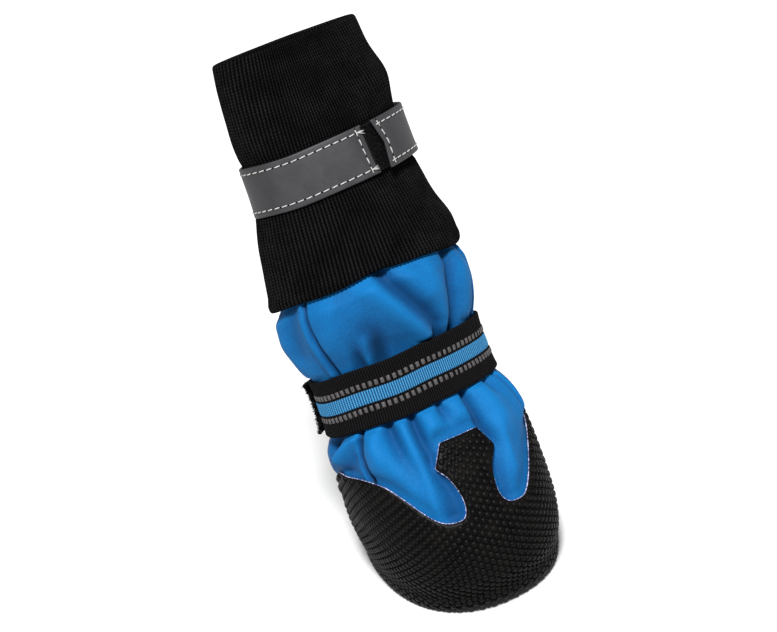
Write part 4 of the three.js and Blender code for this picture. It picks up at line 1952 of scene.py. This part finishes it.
@dataclass
class FleeceInsole:
    """The insole: a soft board with a low pile, loose in the bottom of the boot.

    Attributes:
        sole: The outsole, whose outline it follows.
        inset: How far its edge lies inside the sole's.
        low: Height of its underside.
        high: Height of its top.
    """

    sole: RubberOutsole
    inset: float = 6.6
    low: float = 3.3
    high: float = 5.1

    def build(self, finishes: Finishes) -> Object:
        """Builds the insole, gently dished under the paw.

        Args:
            finishes: The boot's finishes.

        Returns:
            The insole.
        """
        shares = np.linspace(0.06, 1.0, 15)
        turns = np.arange(0.0, 360.0, 3.0)
        ripple = Ripple(SEED + 3, (1, 5), (20.0, 50.0))
        rings = [self.sole.ring(self.inset, self.low, share, turns) for share in shares]
        rings.append(self.sole.ring(self.inset - 0.3, (self.low + self.high) / 2.0, 1.0, turns))
        for share in shares[::-1]:
            top = self.sole.ring(self.inset, self.high, share, turns)
            top[:, 2] += 0.25 * share * ripple(turns, np.full_like(turns, 40.0 * share))
            rings.append(top)
        made = ring_stack("insole_fleece", rings, (self.low, self.high), finishes.pile)
        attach(made, "root")
        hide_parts("insole")
        return made


# ---- The cuff ----


def cuff_face(sizes: BootSizes, station: Array) -> Array:
    """How far the cuff's face stands out from the form: it bags over the upper and fades upwards."""
    low = sizes.hem + 0.3
    return 1.0 - smoothstep(station, low, (low + sizes.collar) / 2.0)


@dataclass
class RibKnitCuff:
    """The long cuff: a doubled tube of rib knit with a rolled lower edge and a folded collar.

    Attributes:
        form: The form it is laid on.
        ribs: Ribs right round.
        rib_depth: Depth of the grooves between ribs.
        columns_per_rib: Points across each rib.
        overhang: How far the rolled edge hangs below the seam.
        wall: Thickness of the doubled knit.
        folds: Its larger bulges and hollows.
    """

    form: BootForm
    ribs: int = 124
    rib_depth: float = 0.75
    columns_per_rib: int = 6
    overhang: float = 1.3
    wall: float = 3.0
    folds: tuple[Fold, ...] = (
        Fold(((62, 140), (84, 138)), 8.0, 1.3),
        Fold(((70, 152), (58, 150)), 6.0, -0.5),
        Fold(((62, 204), (96, 202)), 7.0, 1.3),
        Fold(((60, 219), (90, 217)), 7.0, -0.7),
        Fold(((-98, 131), (-98, 148)), 15.0, 2.2),
        Fold(((-30, 158), (20, 161)), 7.0, 0.5),
        Fold(((150, 200), (200, 204)), 6.0, 0.8),
        Fold(((110, 150), (160, 146)), 6.0, 0.8),
    )

    def bag(self, angle: Array, station: Array) -> Array:
        """The slow bulges of the knit: pinched under the strap, full above and below it.

        Args:
            angle: Angles round the boot, in degrees.
            station: Stations along it.

        Returns:
            Distances in millimetres.
        """
        low, high = self.form.sizes.strap
        from_strap = np.abs(station - (low + high) / 2.0)
        outside = smoothstep(from_strap, 9.0, 12.5)
        near = np.exp(-(((from_strap - 17.0) / 8.0) ** 2))
        slow = Ripple(SEED + 4, (1, 4), (28.0, 70.0))(angle, station)
        folds = fold_height(self.folds, angle, station)
        return outside * (0.3 * slow + 0.5 * near + folds) - 0.35 * (1.0 - outside)

    def face(self, angle: Array, station: Array) -> Array:
        """Extra distance of the outer face.

        Args:
            angle: Angles round the boot, in degrees.
            station: Stations along it.

        Returns:
            Distances in millimetres.
        """
        s = self.form.sizes
        roll = 0.75 * np.exp(-(((station - s.hem - 1.0) / 2.4) ** 2))
        ribs = self.rib_depth * ribbed(angle, self.ribs)
        return cuff_face(s, station) + self.bag(angle, station) + roll + ribs

    def back(self, angle: Array, station: Array) -> Array:
        """Extra distance of the inner face."""
        bulge = cuff_face(self.form.sizes, station) + 0.5 * self.bag(angle, station)
        return bulge - 0.35 * ribbed(angle, self.ribs)

    def wander(self, angle: Array, station: Array) -> Array:
        """How far the ribs stray from straight, in degrees."""
        return 0.8 * Ripple(SEED + 5, (1, 4), (45.0, 110.0))(angle, station)

    def droop(self, angle: Array, station: Array) -> Array:
        """How far the hem's sag moves the knit along the boot, fading upwards."""
        s = self.form.sizes
        return s.hem_droop(angle) * (1.0 - smoothstep(station, s.hem + 2.0, s.hem + 30.0))

    def build(self, finishes: Finishes) -> Object:
        """Builds the cuff.

        Args:
            finishes: The boot's finishes.

        Returns:
            The cuff.
        """
        s = self.form.sizes
        low = s.hem - self.overhang
        up = np.arange(low + 1.1, s.collar - self.wall / 2.0, 1.6)
        outer = np.column_stack([up, np.zeros_like(up), np.ones_like(up)])
        rest = profile(low, s.collar, -self.wall, 0.0, 2, 24)
        collar_and_back = rest[2 : 2 + 5 + 24]
        back = collar_and_back[collar_and_back[:, 0] > s.hem + 1.4]
        # The hem turns under and comes back up between the knit and the cloth.
        hem = np.array(
            [
                (s.hem + 1.0, -2.9, 0.0),
                (s.hem + 0.8, -2.0, 0.2),
                (s.hem + 0.3, -1.2, 0.5),
                (s.hem - 0.5, -1.0, 0.7),
                (low + 0.25, -0.75, 0.85),
                (low, -0.35, 1.0),
                (low + 0.45, -0.08, 1.0),
            ]
        )
        columns = self.ribs * self.columns_per_rib
        wall = Wall(
            self.form,
            np.arange(columns) * 360.0 / columns,
            np.concatenate([outer, back, hem]),
            lift=self.face,
            sink=self.back,
            turn=self.wander,
            slide=self.droop,
        )
        made = wall.build("cuff_rib_knit", [finishes.knit])
        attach(made, "root")
        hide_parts("cuff")
        return made


# ---- The ankle strap ----


class Track(Enum):
    """The tracks between the webbing's black edges, each by its lower and upper edge across it."""

    LOWER_DASHES = (6.2, 8.9)
    BLUE = (9.7, 15.4)
    UPPER_DASHES = (16.2, 18.9)


@dataclass
class AnkleWebbing:
    """The elastic webbing round the ankle, with a blue stripe between two tracks of dashes.

    Attributes:
        form: The form it is laid on.
        low: Station of its lower edge.
        width: Its width.
        inner: Distance of its back from the form.
        outer: Distance of its face.
        ribs: Cross ribs right round.
        dash_pitch: Distance between dashes.
        dash: Length and height of a dash.
    """

    form: BootForm
    low: float = 70.0
    width: float = 25.0
    inner: float = 0.3
    outer: float = 1.9
    ribs: int = 190
    dash_pitch: float = 2.6
    dash: tuple[float, float] = (1.55, 2.25)

    def build(self, finishes: Finishes, repeater: Repeater) -> list[Object]:
        """Builds the webbing and its dashes.

        Args:
            finishes: The boot's finishes.
            repeater: What repeats the dashes.

        Returns:
            The two pieces.
        """
        webbing = self._webbing(finishes)
        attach(webbing, "root")
        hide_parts("ankle_strap")
        dashes = self._dashes(finishes, repeater)
        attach(dashes, "root")
        return [webbing, dashes]

    def face(self, angle: Array, station: Array) -> Array:
        """Relief of the weave: cross ribs, proud on the blue stripe, and a sunk line beside it.

        Args:
            angle: Angles round the boot, in degrees.
            station: Stations along it.

        Returns:
            Distances in millimetres.
        """
        across = station - self.low
        rib = ribbed(angle, self.ribs)
        blue_low, blue_high = Track.BLUE.value
        on_blue = smoothstep(across, blue_low - 0.2, blue_low + 0.2)
        on_blue = on_blue * (1.0 - smoothstep(across, blue_high - 0.2, blue_high + 0.2))
        beside = np.exp(-(((across - blue_low + 0.4) / 0.3) ** 2))
        beside = beside + np.exp(-(((across - blue_high - 0.4) / 0.3) ** 2))
        wave = 0.12 * Ripple(SEED + 6, (3, 9), (60.0, 120.0))(angle, station)
        return (0.24 + 0.1 * on_blue) * rib + 0.12 * on_blue - 0.2 * beside + wave

    def sway(self, angle: Array, station: Array) -> Array:
        """How far the webbing's edges stray along the boot."""
        return 0.22 * Ripple(SEED + 7, (2, 8), (300.0, 600.0))(angle, station)

    def _webbing(self, finishes: Finishes) -> Object:
        """The webbing itself, in black and blue.

        Args:
            finishes: The boot's finishes.

        Returns:
            The webbing.
        """
        high = self.low + self.width
        radius = (self.outer - self.inner) / 2.0
        blue_low, blue_high = (self.low + v for v in Track.BLUE.value)
        rows = np.concatenate(
            [
                np.linspace(self.low + radius, blue_low - 1.0, 8, endpoint=False),
                np.linspace(blue_low - 1.0, blue_low, 4, endpoint=False),
                np.linspace(blue_low, blue_high, 9, endpoint=False),
                np.linspace(blue_high, blue_high + 1.0, 4, endpoint=False),
                np.linspace(blue_high + 1.0, high - radius, 9),
            ]
        )
        outer = np.column_stack([rows, np.full_like(rows, self.outer), np.ones_like(rows)])
        rest = profile(self.low, high, self.inner, self.outer, 2, 6)[2:]
        wall = Wall(
            self.form,
            np.arange(self.ribs * 6) * 360.0 / (self.ribs * 6),
            np.concatenate([outer, rest]),
            lift=self.face,
            sink=lambda angle, station: np.zeros_like(station),
            slide=self.sway,
        )

        def slot_of(station: Array, share: Array) -> Array:
            """Blue on the stripe's face, black elsewhere."""
            return np.where((share > 0.9) & (station > blue_low) & (station < blue_high), 1, 0)

        return wall.build("ankle_webbing", [finishes.webbing, finishes.stripe], slot_of)

    def _dashes(self, finishes: Finishes, repeater: Repeater) -> Object:
        """The grey reflective dashes of both tracks.

        Args:
            finishes: The boot's finishes.
            repeater: What repeats the dashes.

        Returns:
            All the dashes, in one object.
        """
        length, height = self.dash
        x = np.array([-0.5, -0.42, 0.0, 0.42, 0.5]) * length
        y = np.array([-0.5, -0.4, 0.4, 0.5]) * height
        rise = np.array([-0.15, 0.13, 0.2, 0.13, -0.15])
        side = np.array([-0.15, 0.0, 0.0, -0.15])
        points = [(x[i], y[j], min(rise[i], rise[i] + side[j])) for j in range(4) for i in range(5)]
        shape = mesh_object("dash", points, grid_faces(5, 4, False, False).tolist())
        points, facing, edges = [], [], []
        angles = np.arange(0.0, 360.0, 2.0)
        for track in (Track.LOWER_DASHES, Track.UPPER_DASHES):
            station = np.full_like(angles, self.low + sum(track.value) / 2.0)
            shift = 0.0 if track is Track.LOWER_DASHES else 0.8
            first = len(edges)
            station = station + self.sway(angles + shift, station)
            points.append(self.form.offset(angles + shift, station, np.full_like(angles, self.outer)))
            facing.append(self.form.normal(angles + shift, station))
            edges += [(first + i, first + i + 1) for i in range(len(angles) - 1)]
            edges.append((first + len(angles) - 1, first))
        guide = guide_mesh("dash_lines", np.concatenate(points), np.concatenate(facing), edges=edges)
        return repeater.place("ankle_webbing_dashes", guide, shape, finishes.dash, self.dash_pitch)


@dataclass
class HookTab:
    """The hook tape that fastens the webbing, on its outside towards the back.

    Attributes:
        form: The form it is laid on.
        span: Its ends, in degrees; the first lies flat and the second stands off.
        low: Station of its lower edge.
        width: Its width.
        inner: Distance of its back from the form where it lies flat.
        thickness: Its thickness.
        hooks: How many hooks stand on it.
    """

    form: BootForm
    span: tuple[float, float] = (-166.0, -106.0)
    low: float = 69.2
    width: float = 25.0
    inner: float = 2.3
    thickness: float = 1.4
    hooks: int = 900

    def stand_off(self, angle: Array, station: Array) -> Array:
        """How far the free end stands off, with its corners curling a little more.

        Args:
            angle: Angles round the boot, in degrees.
            station: Stations along it.

        Returns:
            Distances in millimetres.
        """
        end = self.span[1]
        middle = self.low + self.width / 2.0
        corner = smoothstep(np.abs(station - middle), 6.0, 13.0)
        return smoothstep(angle, end - 20.0, end) * (1.0 + 0.6 * corner)

    def ragged(self, angle: Array, station: Array) -> Array:
        """How unevenly the free end was cut, in degrees."""
        share = smoothstep(angle, self.span[1] - 12.0, self.span[1])
        return share * (0.9 * np.sin(station * 1.9) + 0.6 * np.sin(station * 4.7 + 1.0))

    def build(self, finishes: Finishes, repeater: Repeater) -> list[Object]:
        """Builds the tape and its hooks.

        Args:
            finishes: The boot's finishes.
            repeater: What repeats the hooks.

        Returns:
            The two pieces.
        """
        start, end = self.span
        outer = self.inner + self.thickness
        wall = Wall(
            self.form,
            np.linspace(start, end, 90),
            profile(self.low, self.low + self.width, self.inner, outer, 24, 24),
            closed=False,
            lift=self.stand_off,
            turn=self.ragged,
        )
        tape = wall.build("ankle_strap_tab_tape", [finishes.touch])
        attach(tape, "root")
        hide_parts("ankle_strap_tab")
        draw = np.random.default_rng(SEED + 8)
        angle = draw.uniform(start + 0.5, end - 0.2, self.hooks)
        station = draw.uniform(self.low + 0.5, self.low + self.width - 0.5, self.hooks)
        depth = np.full(self.hooks, outer)
        # A fringe of hooks along the free end and both long edges.
        fringe = self.hooks // 3
        angle[:fringe] = end - draw.uniform(-0.2, 0.8, fringe)
        depth[:fringe] = draw.uniform(self.inner + 0.3, outer, fringe)
        points = self.form.offset(
            angle + self.ragged(angle, station), station, depth + self.stand_off(angle, station)
        )
        facing = self.form.normal(angle, station) + draw.normal(0.0, 0.45, (self.hooks, 3))
        run = self.form.point(angle[:fringe] + 0.5, station[:fringe])
        run = run - self.form.point(angle[:fringe], station[:fringe])
        facing[:fringe] += 2.4 * run / np.linalg.norm(run, axis=1, keepdims=True)
        facing /= np.linalg.norm(facing, axis=1, keepdims=True)
        size = draw.uniform(0.7, 1.35, self.hooks)
        twist = draw.uniform(0.0, 2.0 * math.pi, self.hooks)
        guide = guide_mesh("hook_places", points, facing, size, twist)
        path = [(0.0, 0.0, -0.25), (0.0, 0.0, 0.45), (0.18, 0.0, 0.75), (0.5, 0.0, 0.7)]
        shape = mesh_object("hook", *rod(np.array(path), np.array([0.11, 0.1, 0.09, 0.07]), 4))
        hooks = repeater.place("ankle_strap_tab_hooks", guide, shape, finishes.touch)
        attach(hooks, "root")
        return [tape, hooks]


# ---- The cuff strap ----


@dataclass
class LoopTape:
    """The strip of loop tape on the cuff that the cuff strap's free end presses on.

    Attributes:
        form: The form it is laid on.
        span: Its ends, in degrees.
        inset: How far its edges lie inside the strap's.
        thickness: Its thickness.
        bare: The last angle where it shows and has its loops.
        loops: How many loops stand there.
    """

    form: BootForm
    span: tuple[float, float] = (22.0, 92.0)
    inset: float = 0.5
    thickness: float = 1.3
    bare: float = 40.0
    loops: int = 560

    def build(self, finishes: Finishes, repeater: Repeater) -> list[Object]:
        """Builds the tape and its loops.

        Args:
            finishes: The boot's finishes.
            repeater: What repeats the loops.

        Returns:
            The two pieces.
        """
        sizes = self.form.sizes
        start, end = self.span
        low, high = sizes.strap[0] + self.inset, sizes.strap[1] - self.inset
        wall = Wall(
            self.form,
            np.linspace(start, end, 60),
            profile(low, high, 0.3, 0.3 + self.thickness, 16, 16),
            closed=False,
            lift=lambda angle, station: cuff_face(sizes, station),
            slide=lambda angle, station: sizes.strap_slide(angle),
        )
        tape = wall.build("cuff_strap_tape_ground", [finishes.touch])
        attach(tape, "root")
        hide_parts("cuff_strap_tape")
        draw = np.random.default_rng(SEED + 9)
        angle = draw.uniform(start + 1.5, self.bare, self.loops)
        station = draw.uniform(low + 0.3, high - 0.3, self.loops)
        height = cuff_face(sizes, station) + 0.3 + self.thickness
        station = station + sizes.strap_slide(angle)
        points = self.form.offset(angle, station, height)
        facing = self.form.normal(angle, station) + draw.normal(0.0, 0.3, (self.loops, 3))
        facing /= np.linalg.norm(facing, axis=1, keepdims=True)
        guide = guide_mesh(
            "loop_places",
            points,
            facing,
            draw.uniform(0.6, 1.1, self.loops),
            draw.uniform(0.0, 2.0 * math.pi, self.loops),
        )
        turns = np.radians(np.linspace(-20.0, 200.0, 6))
        path = np.stack([0.4 * np.cos(turns), np.zeros(6), 0.3 + 0.4 * np.sin(turns)], axis=1)
        shape = mesh_object("loop", *rod(path, np.full(6, 0.09), 3))
        loops = repeater.place("cuff_strap_tape_loops", guide, shape, finishes.touch)
        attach(loops, "root")
        return [tape, loops]


@dataclass
class CuffStrap:
    """The reflective strap round the cuff: sewn down at the front, its free end cut in a notch.

    Attributes:
        form: The form it is laid on.
        free_end: Angle of the free end.
        sewn_end: Angle of the sewn end, a full turn on.
        thickness: Its thickness.
        tape_end: Angle where the loop tape under it stops.
        notch: Depth of the notch, in degrees.
        seam_inset: How far the stitching lies inside the edges.
        stitch_pitch: Distance between stitches.
        end_row: How far the closing row lies before the sewn end, in degrees.
    """

    form: BootForm
    free_end: float = 31.5
    sewn_end: float = 384.0
    thickness: float = 1.2
    tape_end: float = 92.0
    notch: float = 4.2
    seam_inset: float = 2.5
    stitch_pitch: float = 3.6
    end_row: float = 7.0

    @property
    def low(self) -> float:
        """Station of the lower edge."""
        return self.form.sizes.strap[0]

    @property
    def high(self) -> float:
        """Station of the upper edge."""
        return self.form.sizes.strap[1]

    def back(self, angle: Array, station: Array) -> Array:
        """Distance of the strap's back from the form: over the tape, then on the knit.

        Args:
            angle: Angles round the boot, in degrees.
            station: Stations along it.

        Returns:
            Distances in millimetres.
        """
        over_tape = 1.0 - smoothstep(angle, self.tape_end + 4.0, self.tape_end + 22.0)
        lifted = 1.0 - smoothstep(angle, self.free_end, self.free_end + 14.0)
        sewn = smoothstep(angle, self.sewn_end - 14.0, self.sewn_end - 6.0)
        wave = 0.06 * Ripple(SEED + 10, (3, 9), (60.0, 120.0))(angle, station)
        face = cuff_face(self.form.sizes, station)
        return face + 0.3 + 1.7 * over_tape + lifted + wave * (1.0 - sewn)

    def cut(self, angle: Array, station: Array) -> Array:
        """The shape of both ends, in degrees: a notch in the free one, a rough cut at the other.

        Args:
            angle: Angles round the boot, in degrees.
            station: Stations along it.

        Returns:
            What to add to each angle.
        """
        middle = (self.low + self.high) / 2.0
        half = (self.high - self.low) / 2.0
        point = 1.0 - np.abs(station - middle) / half
        at_free = 1.0 - smoothstep(angle, self.free_end, self.free_end + 12.0)
        at_sewn = smoothstep(angle, self.sewn_end - 4.0, self.sewn_end)
        rough = 0.35 * np.sin(station * 1.7) + 0.25 * np.sin(station * 3.9 + 0.6)
        return at_free * self.notch * point + at_sewn * rough

    def sway(self, angle: Array, station: Array) -> Array:
        """How far the strap leans, and its edges stray, along the boot."""
        stray = 0.2 * Ripple(SEED + 11, (2, 7), (300.0, 600.0))(angle, station)
        return self.form.sizes.strap_slide(angle) + stray

    def surface(self, angle: Array, station: Array, above: float = 0.0) -> Array:
        """Points on the strap's face, or a little above it.

        Args:
            angle: Angles round the boot, in degrees.
            station: Stations along it.
            above: How far above it.

        Returns:
            Points in millimetres.
        """
        distance = self.back(angle, station) + self.thickness + above
        turned = angle + self.cut(angle, station)
        return self.form.offset(turned, station + self.sway(angle, station), distance)

    def build(self, finishes: Finishes, repeater: Repeater) -> list[Object]:
        """Builds the strap, its stitching, the painted shadows between its stitches, and its thread ends.

        Args:
            finishes: The boot's finishes.
            repeater: What repeats the stitches.

        Returns:
            The four pieces.
        """
        angles = np.concatenate(
            [
                np.linspace(self.free_end, self.free_end + 14.0, 20, endpoint=False),
                np.linspace(self.free_end + 14.0, self.sewn_end - 6.0, 240, endpoint=False),
                np.linspace(self.sewn_end - 6.0, self.sewn_end, 8),
            ]
        )
        wall = Wall(
            self.form,
            angles,
            profile(self.low, self.high, 0.0, self.thickness, 24, 24),
            closed=False,
            lift=self.back,
            turn=self.cut,
            slide=self.sway,
        )
        strap = wall.build("cuff_strap_tape_grey", [finishes.tape])
        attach(strap, "root")
        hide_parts("cuff_strap")
        pieces = [strap, *self._stitches(finishes, repeater), self._thread_ends(finishes)]
        for piece in pieces[1:]:
            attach(piece, "root")
        return pieces

    def _seams(self) -> list[tuple[Array, Array]]:
        """Angles and stations along each row of stitching.

        Returns:
            Angles and stations, for each row.
        """
        low, high = self.low + self.seam_inset, self.high - self.seam_inset
        long_run = np.arange(self.free_end + 5.0, self.sewn_end - 3.0, 1.5)
        across = np.linspace(low, high, 14)
        return [
            (long_run, np.full_like(long_run, low)),
            (long_run, np.full_like(long_run, high)),
            (np.full_like(across, self.sewn_end - self.end_row), across),
            (np.full_like(across, self.free_end + 5.0), across),
        ]

    def _stitches(self, finishes: Finishes, repeater: Repeater) -> list[Object]:
        """The stitching along both edges and across both ends, and painted shadows between the stitches.

        Args:
            finishes: The boot's finishes.
            repeater: What repeats the stitches.

        Returns:
            The stitches and the painted shadows.
        """
        points, facing, edges = [], [], []
        count = 0
        for angle, station in self._seams():
            points.append(self.surface(angle, station))
            facing.append(self.form.normal(angle, station))
            edges += [(count + i, count + i + 1) for i in range(len(angle) - 1)]
            count += len(angle)
        points, facing = np.concatenate(points), np.concatenate(facing)
        rise = ((-1.35, -0.1, -0.2), (-1.1, -0.08, 0.1), (0.0, 0.0, 0.2))
        stitch = (*rise, (1.1, 0.08, 0.1), (1.35, 0.1, -0.2))
        # Painted shadow: a short dark rod in the black nylon finish lies between each two stitches, where
        # the thread's shadow falls.
        shadow_rod_path = ((1.3, 0.12, 0.0), (1.8, 0.0, 0.06), (2.3, -0.12, 0.0))
        made = []
        for name, path, radii, finish in (
            ("stitches", stitch, (0.18, 0.23, 0.25, 0.23, 0.18), finishes.thread),
            ("needle_holes", shadow_rod_path, (0.16, 0.22, 0.16), finishes.touch),
        ):
            guide = guide_mesh(f"{name}_lines", points, facing, edges=edges)
            shape = mesh_object(name, *rod(path, radii, 6))
            made.append(repeater.place(f"cuff_strap_{name}", guide, shape, finish, self.stitch_pitch))
        return made

    def _thread_ends(self, finishes: Finishes) -> Object:
        """The tufts of loose thread at both corners of the closing row.

        Args:
            finishes: The boot's finishes.

        Returns:
            All the ends, in one object.
        """
        draw = np.random.default_rng(SEED + 12)
        parts = []
        for station in (self.low + self.seam_inset, self.high - self.seam_inset):
            for _ in range(7):
                angle = self.sewn_end - self.end_row + np.linspace(0.0, draw.uniform(5.0, 8.5), 4)
                along = station + np.linspace(0.0, draw.normal(0.0, 0.9), 4)
                rise = np.array([-0.1, 0.3, 0.35, 0.2]) + draw.uniform(0.0, 0.25)
                points = self.surface(angle, along) + self.form.normal(angle, along) * rise[:, None]
                parts.append(rod(points, np.array([0.16, 0.14, 0.12, 0.07]), 4))
        points, faces = joined(parts)
        return mesh_object("cuff_strap_thread_ends", points, faces, [finishes.thread])


# ---- The studio ----


@dataclass(frozen=True)
class SoftLight:
    """One broad soft light, far enough off to light the whole floor alike.

    Attributes:
        name: Its name.
        azimuth: Where it stands round the boot, in degrees; 0 in front of the toe, 90 on +X.
        elevation: How high it stands, in degrees.
        spread: How wide it looks from the boot, in degrees.
        power: Its power, in watts a square metre.
    """

    name: str
    azimuth: float
    elevation: float
    spread: float
    power: float


@dataclass
class Studio:
    """The floor, the lights and the camera.

    Attributes:
        aim: The point that the camera looks at, in millimetres.
        azimuth: Where the camera stands round the boot, in degrees.
        elevation: How high it stands, in degrees.
        distance: How far off, in millimetres.
        roll: How far the boot leans anticlockwise in the view, in degrees.
        lens: Focal length, in millimetres on a 36 mm sensor.
        sky: Strength of the even light from all round.
        lights: The soft lights.
    """

    aim: tuple[float, float, float] = (0.0, 15.0, 110.0)
    azimuth: float = -19.0
    elevation: float = 27.0
    distance: float = 700.0
    roll: float = 15.0
    lens: float = 79.0
    sky: float = 0.22
    lights: tuple[SoftLight, ...] = (SoftLight("key", -19.0, 62.0, 14.0, 6.2),)

    @staticmethod
    def direction(azimuth: float, elevation: float) -> Vector:
        """The direction from the boot towards a place in the studio."""
        a, e = math.radians(azimuth), math.radians(elevation)
        return Vector((math.sin(a) * math.cos(e), -math.cos(a) * math.cos(e), math.sin(e)))

    def build(self) -> None:
        """Sets up the floor, the lights, the even light and the camera."""
        scene = bpy.context.scene
        scene.view_settings.view_transform = "Standard"
        world = bpy.data.worlds.new("studio")
        world.use_nodes = True
        world.node_tree.nodes.clear()
        white = {"Color": (1.0, 1.0, 1.0, 1.0), "Strength": self.sky}
        sky = add_node(world.node_tree, "ShaderNodeBackground", white)
        add_node(world.node_tree, "ShaderNodeOutputWorld", Surface=sky)
        scene.world = world
        reach = 4000.0
        corners = [(-reach, -reach, 0.0), (reach, -reach, 0.0), (reach, reach, 0.0), (-reach, reach, 0.0)]
        floor = mesh_object("floor", corners, [[0, 1, 2, 3]], [PaperFloor().material()])
        aim = Vector(self.aim) * MM
        for light in self.lights:
            data = bpy.data.lights.new(light.name, "SUN")
            data.energy, data.angle = light.power, math.radians(light.spread)
            lamp = bpy.data.objects.new(light.name, data)
            away = self.direction(light.azimuth, light.elevation)
            lamp.location = aim + away
            lamp.rotation_euler = away.to_track_quat("Z", "Y").to_euler()
            scene.collection.objects.link(lamp)
        self._camera(aim)

    def _camera(self, aim: Vector) -> None:
        """The camera, rolled so that the boot leans in the view.

        Args:
            aim: The point that it looks at, in metres.
        """
        back = self.direction(self.azimuth, self.elevation)
        right = Vector((0.0, 0.0, 1.0)).cross(back).normalized()
        up = back.cross(right)
        c, s = math.cos(math.radians(self.roll)), math.sin(math.radians(self.roll))
        x, y = right * c - up * s, right * s + up * c
        data = bpy.data.cameras.new("camera")
        data.lens, data.sensor_width, data.clip_end = self.lens, 36.0, 50.0
        camera = bpy.data.objects.new("camera", data)
        turn = Matrix((x, y, back)).transposed().to_4x4()
        camera.matrix_world = Matrix.Translation(aim + back * self.distance * MM) @ turn
        bpy.context.scene.collection.objects.link(camera)
        bpy.context.scene.camera = camera


def main() -> None:
    """Builds the boot on its frame, dresses it and sets up the studio."""
    logging.basicConfig(level=logging.INFO, format="%(name)s: %(message)s")
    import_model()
    form = BootForm(BootSizes())
    edge = OverlayEdge()
    finishes = Finishes.build()
    repeater = Repeater()
    sole = RubberOutsole(form)
    pieces = [
        *sole.build(finishes, repeater),
        FleeceInsole(sole).build(finishes),
        SoftshellUpper(form, edge).build(finishes),
        *RubberOverlay(form, edge).build(finishes, repeater),
        RibKnitCuff(form).build(finishes),
        *AnkleWebbing(form).build(finishes, repeater),
        *HookTab(form).build(finishes, repeater),
        *LoopTape(form).build(finishes, repeater),
        *CuffStrap(form).build(finishes, repeater),
    ]
    for piece in pieces:
        triangles = sum(len(face.vertices) - 2 for face in piece.data.polygons)
        LOG.info("%s: %d triangles", piece.name, triangles)
    Studio().build()


if __name__ == "__main__":
    main()
